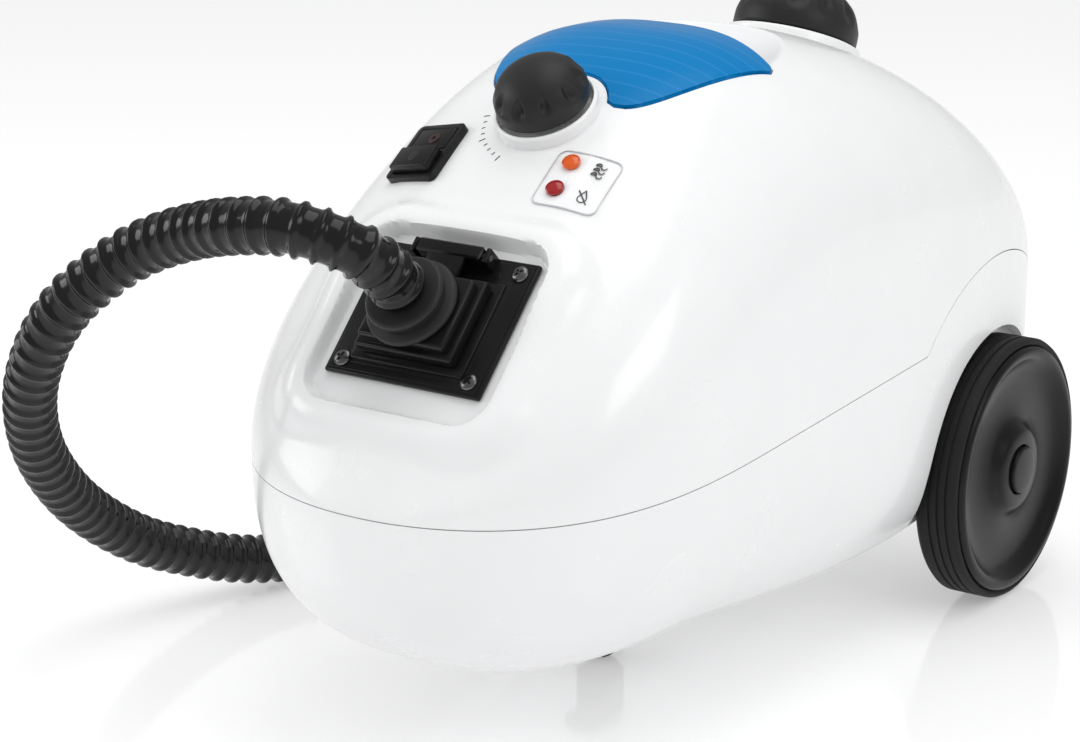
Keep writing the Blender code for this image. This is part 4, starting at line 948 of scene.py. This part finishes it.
    def declare(self) -> None:
        tuple(self.route()[0])


# ---------------------------------------------------------------- nose socket

@dataclass
class SocketPlate:
    """The black plate on the nose with its screws, plug, rubber collar and latch."""

    place: Matrix
    plate: tuple[float, float] = (0.0868, 0.0708)
    thickness: float = 0.0030
    platform: tuple[float, float] = (0.0628, 0.0498)
    platform_height: float = 0.0022
    plug: tuple[float, float] = (0.0538, 0.0428)
    plug_height: float = 0.012
    drop: float = 0.003
    collar: tuple[float, float] = (0.0225, 0.0142)
    collar_height: float = 0.012
    screw: tuple[float, float] = (0.0355, 0.0285)
    screw_radius: float = 0.0042

    def build(self) -> list[bpy.types.Object]:
        """Builds the pieces and returns those that ride on the hose."""
        self.build_plate()
        self.build_screws()
        plug = self.build_plug()
        collar = self.build_collar()
        latch = refined("plug_latch", 0.0005)
        finish_as(latch, BLACK, "plug_latch", "black_gloss", "plug_latch")
        return [plug, collar]

    def build_plate(self) -> None:
        """The plate, its stepped platform and the ears that hold the latch."""
        plate = block("nose_plate", (*self.plate, self.thickness), (0, 0, -self.thickness / 2),
                      0.007, 0.0011)
        rim = block("plate_rim", (self.plate[0] - 0.004, self.plate[1] - 0.004, 0.0008),
                    (0, 0, 0.0001), 0.0055, 0.0003)
        step = block("plate_step", (*self.platform, self.platform_height + 0.001),
                     (0, -self.drop, (self.platform_height - 0.001) / 2 - 0.0002), 0.009, 0.0008)
        groove = block("plate_groove", (self.platform[0] + 0.0035, self.platform[1] + 0.0035,
                                        0.0012), (0, -self.drop, 0.0), 0.0105, 0.0004)
        parts = [plate, rim, groove, step]
        for side in (-1, 1):
            parts.append(block(f"latch_ear_{side}", (0.0026, 0.0075, 0.0100),
                               (side * 0.0201, 0.031, 0.0048), 0.0, 0.0008))
        activate(plate)
        for part in parts[1:]:
            part.select_set(True)
        bpy.ops.object.join()
        smooth(plate)
        settle(plate, self.place)
        finish_as(plate, BLACK, "base", "black_gloss", "socket_plate")

    def build_screws(self) -> None:
        """Four pan-head screws with cross recesses."""
        for number, (side, rise) in enumerate(((-1, 1), (1, 1), (1, -1), (-1, -1)), 1):
            radius = self.screw_radius
            head = lathe(f"screw_look_{number}",
                         [(0.0, -0.006), (0.0015, -0.006), (0.0015, 0.0006), (radius, 0.0006)]
                         + [(radius * math.cos(math.radians(turn)),
                             0.0010 + 0.0016 * math.sin(math.radians(turn)))
                            for turn in range(0, 91, 15)], 48)
            for turn in (0, 90):
                slot = block("slot", (0.0048, 0.0011, 0.0030), (0, 0, 0.0030), 0.0, 0.0)
                slot.data.transform(Matrix.Rotation(math.radians(turn + 20 + 13 * number), 4, "Z"))
                cut(head, slot)
            smooth(head, 40.0)
            settle(head, self.place @ Matrix.Translation((side * self.screw[0],
                                                          rise * self.screw[1], 0.0)))
            finish_as(head, DARK_STEEL, "base", "soft_black", f"plate_screw_{number}")

    def build_plug(self) -> bpy.types.Object:
        """The plug's flange block with its stepped shoulder."""
        base = self.platform_height + 0.0004
        plug = block("plug_flange", (*self.plug, self.plug_height * 0.55),
                     (0, -self.drop, base + self.plug_height * 0.275), 0.0105, 0.0013)
        upper = block("plug_top", (self.plug[0] - 0.006, self.plug[1] - 0.006,
                                   self.plug_height * 0.5),
                      (0, -self.drop, base + self.plug_height * 0.75), 0.0090, 0.0016)
        activate(plug)
        upper.select_set(True)
        bpy.ops.object.join()
        smooth(plug)
        settle(plug, self.place)
        return finish_as(plug, BLACK, "base", "black_gloss", "hose_plug")

    def build_collar(self) -> bpy.types.Object:
        """The soft rubber collar, wide and round at its foot and tight round the hose."""
        base = self.platform_height + self.plug_height + 0.0008
        wide, tight = self.collar
        profile = ([(0.0, base), (wide - 0.0018, base)]
                   + arc((wide - 0.0022, base + 0.0022), 0.0022, -70, 75, 8)
                   + [(wide - 0.0045, base + 0.0052), (tight + 0.0045, base + 0.0075)]
                   + arc((tight + 0.0030, base + 0.0098), 0.0021, -40, 90, 6)
                   + [(tight - 0.0004, base + self.collar_height),
                      (0.0, base + self.collar_height)])
        collar = lathe("rubber_collar", profile, 96)
        smooth(collar, 50.0)
        settle(collar, self.place @ Matrix.Translation((0, -self.drop, 0)))
        return finish_as(collar, SATIN, "base", "soft_black", "plug_collar")


# ---------------------------------------------------------------- knobs

@dataclass
class DomeKnob:
    """A soft-touch dome with teardrop finger dimples round its flank."""

    name: str
    place: Matrix
    radius: float
    height: float
    foot: float
    dimples: int = 10
    dimple_depth: float = 0.0026
    dimple_turn: float = 12.0
    dimple_lift: float = 27.0
    dimple_half_tall: float = 17.0
    dimple_half_wide: float = 9.4

    def build(self, body: str, slot: str, *nodes: str) -> bpy.types.Object:
        """Builds the knob in place of CAD nodes."""
        profile = [(0.0, self.foot), (self.radius - 0.0016, self.foot)]
        profile += arc((self.radius - 0.0016, self.foot + 0.0016), 0.0016, -90, 0, 5)
        low = self.foot + 0.0048
        profile += [(self.radius * math.cos(math.radians(turn)) ** 0.92,
                     low + (self.foot + self.height - low) * math.sin(math.radians(turn)))
                    for turn in range(0, 90, 3)]
        profile += [(0.0, self.foot + self.height)]
        knob = lathe(self.name, profile, 192)
        shifts = [vertex.normal * self.pressed(vertex.co) for vertex in knob.data.vertices]
        for vertex, shift in zip(knob.data.vertices, shifts):
            vertex.co -= shift
        smooth(knob, 65.0)
        settle(knob, self.place)
        return finish_as(knob, SATIN, body, slot, *nodes)

    def pressed(self, point: Vector) -> float:
        """How deep the dimple at a point of the dome is."""
        lift = math.degrees(math.asin(min(1.0, max(0.0, (point.z - self.foot - 0.004)
                                                   / (self.height - 0.004)))))
        pitch = 360 / self.dimples
        turn = math.degrees(math.atan2(point.y, point.x)) + self.dimple_turn
        turn = (turn + pitch / 2) % pitch - pitch / 2
        rise = (lift - self.dimple_lift) / self.dimple_half_tall
        half_wide = self.dimple_half_wide * (1.0 - 0.34 * rise)
        away = math.hypot(rise, turn / half_wide)
        rim = 0.05 * math.exp(-((away - 1.12) / 0.14) ** 2)
        return self.dimple_depth * ((1 - ease(away / 1.05)) - rim)


@dataclass
class CrownFittings:
    """The steam dial and the boiler cap on the crown, each on its raised white seat."""

    dial: Matrix
    cap: Matrix
    body: BodyForm
    tick_count: int = 9
    first_tick: float = 188.0
    tick_pitch: float = 8.0

    def build(self) -> None:
        """Builds both domes, their seats and the dial's tick marks."""
        DomeKnob("steam_dial_dome", self.dial, 0.0230, 0.0222, 0.0068).build(
            "steam_dial", "soft_black", "steam_dial")
        DomeKnob("boiler_cap_dome", self.cap, 0.0333, 0.0308, 0.0048, 12, 0.0018, 4.0).build(
            "boiler_cap", "soft_black", "boiler_cap")
        self.seat("dial_seat_ring", self.dial, 0.0235, 0.0256, 0.0058, "dial_seat")
        self.seat("cap_seat_ring", self.cap, 0.0180, 0.0363, 0.0036, "cap_seat")
        self.ticks()

    def seat(self, name: str, place: Matrix, inner: float, outer: float, height: float,
             node: str) -> None:
        """A raised ring whose foot spreads into the housing.

        Args:
            name: the piece's name.
            place: the frame it stands on.
            inner: radius of its opening.
            outer: radius of its wall.
            height: how far it stands up.
            node: the CAD node that it stands for.
        """
        profile = ([(inner, height - 0.0030), (inner, height - 0.0006), (inner + 0.0006, height)]
                   + arc((outer - 0.0016, height - 0.0016), 0.0016, 90, 0, 6)
                   + [(outer, -0.012), (inner, -0.012), (inner, height - 0.0030)])
        ring = lathe(name, profile, 128)
        smooth(ring, 40.0)
        settle(ring, place)
        finish_as(ring, WHITE, "base", "white_gloss", node)

    def ticks(self) -> None:
        """Plain printed ticks on the housing beside the dial."""
        for index in range(self.tick_count):
            turn = math.radians(self.first_tick + self.tick_pitch * index)
            long = 0.0032 if index % 4 == 0 else 0.0018
            mark = block(f"dial_tick_{index}", (long, 0.0006, 0.0010), (0.0312 + long / 2, 0, 0))
            place = self.dial @ Matrix.Rotation(turn, 4, "Z")
            press_on(mark, place, self.body, 0.00010)
            finish_as(mark, PRINT, "base", "black_gloss")


def press_on(piece: bpy.types.Object, place: Matrix, body: BodyForm, height: float) -> None:
    """Lays a flat piece on the crown, following its curve.

    Args:
        piece: a thin piece in its own frame, flat along Z.
        place: that frame.
        body: the form it lies on.
        height: how far its top stands above the form.
    """
    top = max(vertex.co.z for vertex in piece.data.vertices)
    for vertex in piece.data.vertices:
        under = height if vertex.co.z > top - 1e-6 else height - 0.0006
        point = place @ vertex.co
        normal = body.frame_on(point.x, point.y).to_3x3() @ Vector((0, 0, 1))
        point.z = body.top(point.x, point.y)
        vertex.co = point + normal * under


# ---------------------------------------------------------------- switches and lights

@dataclass
class SwitchPair:
    """Two push switches in a black bezel: the lower one out, the upper one pressed in."""

    place: Matrix
    size: tuple[float, float] = (0.0235, 0.0135)
    pitch: float = 0.0158

    def build(self) -> None:
        """Builds the bezel, both buttons and the lamp ring."""
        bezel = refined("switch_bezel", 0.0006)
        finish_as(bezel, BLACK, "base", "black_gloss", "switch_bezel")
        for rise, out, name in ((-0.5, 0.0070, "steam_button"), (0.5, 0.0030, "power_button")):
            button = block(f"{name}_cap", (*self.size, 0.0150),
                           (0, rise * self.pitch, out - 0.0075), 0.0012, 0.0007)
            smooth(button)
            settle(button, self.place)
            finish_as(button, BLACK, name, "black_gloss", name)
        ring = lathe("lamp_ring", [(0.0012, 0.0), (0.0034, 0.0), (0.0034, 0.00025),
                                   (0.0012, 0.00025), (0.0012, 0.0)], 40)
        settle(ring, self.place @ Matrix.Translation((0.001, 0.5 * self.pitch, 0.0030)))
        finish_as(ring, LAMP, "power_button", "amber_lens")
        dish = lathe("button_dish", [(0.0, 0.0), (0.0034, 0.0), (0.0030, 0.00022),
                                     (0.0, 0.00012)], 40)
        settle(dish, self.place @ Matrix.Translation((0.001, -0.5 * self.pitch, 0.0070)))
        finish_as(dish, SATIN, "steam_button", "soft_black")


@dataclass
class Indicators:
    """The indicator panel with two faintly lit lenses, a printed border and plain pictograms."""

    place: Matrix
    body: BodyForm
    size: float = 0.034
    corner: float = 0.004
    lens_radius: float = 0.0037
    lens_pitch: float = 0.0165
    lens_offset: float = -0.0075
    film_sink: float = 0.0006
    film_top: float = 0.00065
    sign_scale: float = 1.3
    sign_offset: float = 0.0072

    def build(self) -> None:
        """Builds the film, the border, the lenses and the pictograms."""
        film = refined("indicator_panel")
        film.data.transform(Matrix.Translation(self.place.col[2].xyz * -self.film_sink))
        finish_as(film, PANEL, "base", "black_gloss", "indicator_panel")
        self.border()
        for rise, finish, name, slot in ((0.5, AMBER, "ready_lens", "amber_lens"),
                                         (-0.5, RED, "water_lens", "red_lens")):
            radius = self.lens_radius
            spot = self.place @ Matrix.Translation((self.lens_offset, rise * self.lens_pitch, 0))
            lens = lathe(f"{name}_dome", [(0.0, -0.004), (radius, -0.004), (radius, 0.0016)]
                         + [(radius * math.cos(math.radians(turn)),
                             0.0018 + 0.0008 * math.sin(math.radians(turn)))
                            for turn in range(15, 91, 15)], 48)
            smooth(lens, 40.0)
            settle(lens, spot)
            finish_as(lens, finish, "base", slot, name)
            ring = lathe(f"{name}_ring", [(radius, 0.0010), (radius + 0.0007, 0.0010),
                                          (radius + 0.0007, 0.0018), (radius, 0.0022),
                                          (radius, 0.0010)], 48)
            smooth(ring)
            settle(ring, spot)
            finish_as(ring, finish, "base", slot)
        bend = 0.0011
        self.pictogram("vapour_mark", 0.5, [
            arc((-0.0012, level), bend, 0, 180, 8) + arc((0.0010, level), bend, 180, 360, 8)
            for level in (0.0, -0.0022, 0.0022)])
        drop = arc((0.0, -0.0007), 0.0017, 150, 390, 14)
        self.pictogram("water_mark", -0.5, [drop + [(0.0, 0.0030), drop[0]],
                                            [(-0.0026, 0.0024), (0.0026, -0.0028)]])

    def border(self) -> None:
        """The thin printed line round the panel."""
        half = self.size / 2 - 0.0004
        inner = half - self.corner
        line = []
        for turn, (x, y) in zip((0, 90, 180, 270), ((1, 1), (-1, 1), (-1, -1), (1, -1))):
            line += arc((x * inner, y * inner), self.corner, turn, turn + 90, 6)
        self.printed("panel_border", line + [line[0]], 0.00034, LINE, 0.0)

    def pictogram(self, name: str, rise: float, strokes: list[Outline]) -> None:
        """Strokes of a small printed sign beside a lens."""
        for index, stroke in enumerate(strokes):
            moved = [(self.sign_scale * x + self.sign_offset,
                      self.sign_scale * y + rise * self.lens_pitch) for x, y in stroke]
            self.printed(f"{name}_{index}", moved, 0.00036, PRINT, 0.00004)

    def printed(self, name: str, line: Outline, width: float, finish: Finish,
                above: float) -> None:
        """One printed stroke that follows the crown.

        Args:
            name: the piece's name.
            line: its middle line in the panel's frame.
            width: its width.
            finish: its surface.
            above: extra height over the panel's film.
        """
        fine = [line[0]]
        for (x0, y0), (x1, y1) in zip(line, line[1:]):
            steps = max(1, round(math.hypot(x1 - x0, y1 - y0) / 0.0015))
            fine += [(x0 + (x1 - x0) * k / steps, y0 + (y1 - y0) * k / steps)
                     for k in range(1, steps + 1)]
        mesh = bmesh.new()
        rows = []
        for index, (x, y) in enumerate(fine):
            near, far = fine[max(index - 1, 0)], fine[min(index + 1, len(fine) - 1)]
            if line[0] == line[-1] and index in (0, len(fine) - 1):
                near, far = fine[-2], fine[1]
            run = Vector((far[0] - near[0], far[1] - near[1], 0)).normalized() * (width / 2)
            rows.append([mesh.verts.new((x + side * run.y, y - side * run.x, level))
                         for side, level in ((-1, 0.0), (-1, 0.001), (1, 0.001), (1, 0.0))])
        for near, far in zip(rows, rows[1:]):
            for index in range(4):
                after = (index + 1) % 4
                mesh.faces.new((near[index], near[after], far[after], far[index]))
        mesh.faces.new(rows[0])
        mesh.faces.new(rows[-1][::-1])
        bmesh.ops.recalc_face_normals(mesh, faces=mesh.faces)
        data = bpy.data.meshes.new(name)
        mesh.to_mesh(data)
        mesh.free()
        piece = bpy.data.objects.new(name, data)
        bpy.context.scene.collection.objects.link(piece)
        press_on(piece, self.place, self.body, self.film_top + above)
        finish_as(piece, finish, "base", "black_gloss")


# ---------------------------------------------------------------- wheels

@dataclass
class RoadWheel:
    """One rear wheel: a dished glossy disc, its tyre and its hub cap."""

    side: Side
    radius: float = 0.070
    outer: float = 0.133
    width: float = 0.027
    cap: float = 0.016
    axle_y: float = 0.1512
    grooves: int = 3

    def build(self) -> None:
        """Builds the disc, tyre and cap of this side."""
        across = Vector((self.side.value, 0, 0))
        turn = Matrix((Vector((0, 1, 0)), across.cross(Vector((0, 1, 0))), across)).transposed()
        place = Matrix.Translation((0, self.axle_y, self.radius)) @ turn.to_4x4()
        rim, inner, face = self.radius - 0.004, self.outer - self.width, self.outer
        label = self.side.label
        disc = lathe(f"{label}_disc", [
            (self.cap - 0.003, face - 0.004), (self.cap - 0.003, face - 0.0004),
            (self.cap - 0.0022, face + 0.0004), (self.cap + 0.004, face + 0.0002),
            (self.cap + 0.0062, face - 0.0012), (self.cap + 0.0085, face - 0.0040),
            (self.cap + 0.0120, face - 0.0058), (rim * 0.55, face - 0.0070),
            (rim * 0.66, face - 0.0074), (rim * 0.77, face - 0.0068), (rim - 0.0110, face - 0.0052),
            (rim - 0.0082, face - 0.0030), (rim - 0.0062, face - 0.0010),
            (rim - 0.0044, face - 0.0002), (rim - 0.0022, face - 0.0004),
            (rim - 0.0004, face - 0.0016), (rim, face - 0.0030), (rim, inner + 0.001),
            (rim - 0.006, inner + 0.001), (rim - 0.008, face - 0.013),
            (self.cap + 0.006, face - 0.013), (self.cap, inner), (0.0060, inner),
            (0.0060, face - 0.004), (self.cap - 0.003, face - 0.004)], 160)
        smooth(disc, 42.0)
        settle(disc, place)
        finish_as(disc, WHEEL_BLACK, f"{label}_wheel", "black_gloss", f"{label}_wheel")
        tread = [(self.radius, face - 0.0042)]
        for index in range(self.grooves):
            middle = face - 0.0080 - 0.0048 * index
            tread += [(self.radius, middle + 0.0009), (self.radius - 0.0008, middle + 0.0006),
                      (self.radius - 0.0008, middle - 0.0006), (self.radius, middle - 0.0009)]
        tyre = lathe(f"{label}_tread", [(rim + 0.0003, face - 0.0030), (self.radius - 0.0022,
                     face - 0.0022), (self.radius - 0.0008, face - 0.0028)] + tread
                     + [(self.radius, inner + 0.003), (self.radius - 0.0016, inner + 0.001),
                        (rim + 0.0003, inner + 0.001), (rim + 0.0003, face - 0.0030)], 160)
        smooth(tyre, 35.0)
        settle(tyre, place)
        finish_as(tyre, RUBBER, f"{label}_wheel", "black_rubber", f"{label}_tyre")
        edge = self.cap - 0.0035
        cap = lathe(f"{label}_cap", [(0.0, face - 0.0045), (edge, face - 0.0045),
                                     (edge, face + 0.0012)]
                    + arc((edge - 0.0012, face + 0.0014), 0.0012, 0, 80, 5)
                    + [(edge - 0.0030, face + 0.0028), (0.0, face + 0.0034)], 96)
        smooth(cap, 40.0)
        settle(cap, place)
        finish_as(cap, WHEEL_BLACK, f"{label}_wheel", "black_gloss", f"{label}_hub_cap")


# ---------------------------------------------------------------- pieces kept from the frame

@dataclass
class KeptPieces:
    """CAD nodes whose shape is right: softened copies outside, and finishes inside."""

    softened: dict[str, tuple[Finish, str, str, float]] = field(default_factory=lambda: {
        "caster_fork": (SATIN, "caster_fork", "soft_black", 0.0005),
        "caster_wheel": (RUBBER, "caster_wheel", "black_rubber", 0.0003),
        "gun_body": (SATIN, "base", "soft_black", 0.0),
        "gun_trigger": (BLACK, "gun_trigger", "black_gloss", 0.0),
        "mains_inlet": (BLACK, "base", "black_gloss", 0.0004),
        "safety_valve": (BRASS, "base", "brass", 0.0005),
        "water_pump": (STEEL, "base", "steel", 0.0008),
        "boiler": (STEEL, "base", "steel", 0.0),
        "water_tank": (TANK, "base", "tank_plastic", 0.0008),
        "filler_strainer": (SATIN, "base", "soft_black", 0.0),
    })
    dressed: dict[str, Finish] = field(default_factory=lambda: {
        "caster_pin": STEEL, "caster_socket": STEEL, "control_board": BOARD,
        "dial_spindle": STEEL, "gun_nozzle": STEEL, "heating_ring": STEEL, "hinge_pin": STEEL,
        "latch_pin": STEEL,
        "left_hinge_bracket": TANK, "right_hinge_bracket": TANK, "outlet_pipe": BRASS,
        "rear_axle": STEEL, "socket_body": BRASS, "solenoid_valve": BRASS, "steam_pipe": BRASS,
        "steam_valve": BRASS, "switch_block": BLACK, "thermostat": BLACK, "trigger_pin": STEEL,
        "water_pipe": SILICONE,
    })

    def build(self) -> dict[str, bpy.types.Object]:
        """Softens and dresses the kept nodes, and returns the softened ones by node."""
        made = {}
        for node, (finish, body, slot, edge) in self.softened.items():
            made[node] = finish_as(refined(node, edge), finish, body, slot, node)
        for node, finish in self.dressed.items():
            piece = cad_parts[node]
            piece.data.materials.clear()
            piece.data.materials.append(finish.material())
        return made


# ---------------------------------------------------------------- studio

@dataclass
class Studio:
    """Pale floor, soft light and the camera."""

    target: Vector = field(default_factory=lambda: Vector((-0.0563, -0.02275, 0.1343)))
    azimuth: float = 34.74
    elevation: float = 15.96
    distance: float = 1.540
    lens: float = 100.0
    surround: float = 1.0
    surround_reflected: float = 0.42
    floor_colour: Colour = (0.72, 0.72, 0.725)
    floor_glow: float = 0.30

    def camera(self) -> None:
        """Places the camera."""
        turn, rise = math.radians(self.azimuth), math.radians(self.elevation)
        away = Vector((math.sin(turn) * math.cos(rise), -math.cos(turn) * math.cos(rise),
                       math.sin(rise)))
        data = bpy.data.cameras.new("studio_camera")
        data.lens = self.lens
        data.sensor_width = 36.0
        data.clip_end = 50.0
        camera = bpy.data.objects.new("studio_camera", data)
        bpy.context.scene.collection.objects.link(camera)
        camera.location = self.target + away * self.distance
        camera.rotation_euler = (-away).to_track_quat("-Z", "Y").to_euler()
        bpy.context.scene.camera = camera

    def floor(self) -> None:
        """A pale, slightly glossy floor that is faintly lit from within."""
        deselect()
        bpy.ops.mesh.primitive_plane_add(size=16.0, location=(0, 0, -0.0004))
        floor = bpy.context.object
        floor.name = "studio_floor"
        material = bpy.data.materials.new("pale_floor")
        material.use_nodes = True
        shader = material.node_tree.nodes["Principled BSDF"]
        shader.inputs["Base Color"].default_value = (*self.floor_colour, 1.0)
        shader.inputs["Emission Color"].default_value = (1.0, 1.0, 1.0, 1.0)
        shader.inputs["Emission Strength"].default_value = self.floor_glow
        shader.inputs["Roughness"].default_value = 0.09
        shader.inputs["IOR"].default_value = 1.9
        floor.data.materials.append(material)

    def lights(self) -> None:
        """A white surround, dimmer in reflections, with large soft panels."""
        scene = bpy.context.scene
        scene.view_settings.view_transform = "Standard"
        world = bpy.data.worlds.new("studio_surround")
        scene.world = world
        world.use_nodes = True
        tree = world.node_tree
        tree.nodes["Background"].inputs["Color"].default_value = (1, 1, 1, 1)
        path = tree.nodes.new("ShaderNodeLightPath")
        dim = tree.nodes.new("ShaderNodeMapRange")
        dim.inputs["To Min"].default_value = self.surround
        dim.inputs["To Max"].default_value = self.surround_reflected
        tree.links.new(path.outputs["Is Glossy Ray"], dim.inputs["Value"])
        tree.links.new(dim.outputs["Result"], tree.nodes["Background"].inputs["Strength"])
        for name, place, size, power in (("top_panel", (0.1, 0.1, 1.9), 1.6, 8.0),
                                         ("left_panel", (-1.7, -0.9, 0.9), 1.2, 8.0),
                                         ("right_panel", (1.5, -0.2, 1.2), 0.9, 4.0)):
            data = bpy.data.lights.new(name, "AREA")
            data.shape = "RECTANGLE"
            data.size, data.size_y, data.energy = size, size * 0.6, power
            light = bpy.data.objects.new(name, data)
            scene.collection.objects.link(light)
            light.location = place
            light.rotation_euler = (Vector((0, 0, 0.15)) - Vector(place)).to_track_quat(
                "-Z", "Y").to_euler()


# ---------------------------------------------------------------- the machine

def main() -> None:
    """Builds the machine class by class."""
    logging.basicConfig(level=logging.INFO, format="%(name)s %(message)s")
    studio = Studio()
    studio.camera()
    hose = Hose()
    tube = hose.build()
    body = BodyForm()
    socket = axes_at(SOCKET_ORIGIN, SOCKET_NORMAL)
    switch = body.frame_on(*SWITCH_SPOT)
    Housings(body, socket).build(switch, SWITCH_HOLE)
    on_hose = SocketPlate(socket).build()
    CrownFittings(body.frame_on(*DIAL_SPOT), body.frame_on(*CAP_SPOT), body).build()
    SwitchPair(switch).build()
    Indicators(body.frame_on(*PANEL_SPOT), body).build()
    for side in Side:
        RoadWheel(side).build()
    kept = KeptPieces().build()
    on_hose += [kept["gun_body"], kept["gun_trigger"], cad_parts["gun_nozzle"],
                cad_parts["trigger_pin"]]
    hose.declare()
    studio.floor()
    studio.lights()


if __name__ == "__main__":
    main()
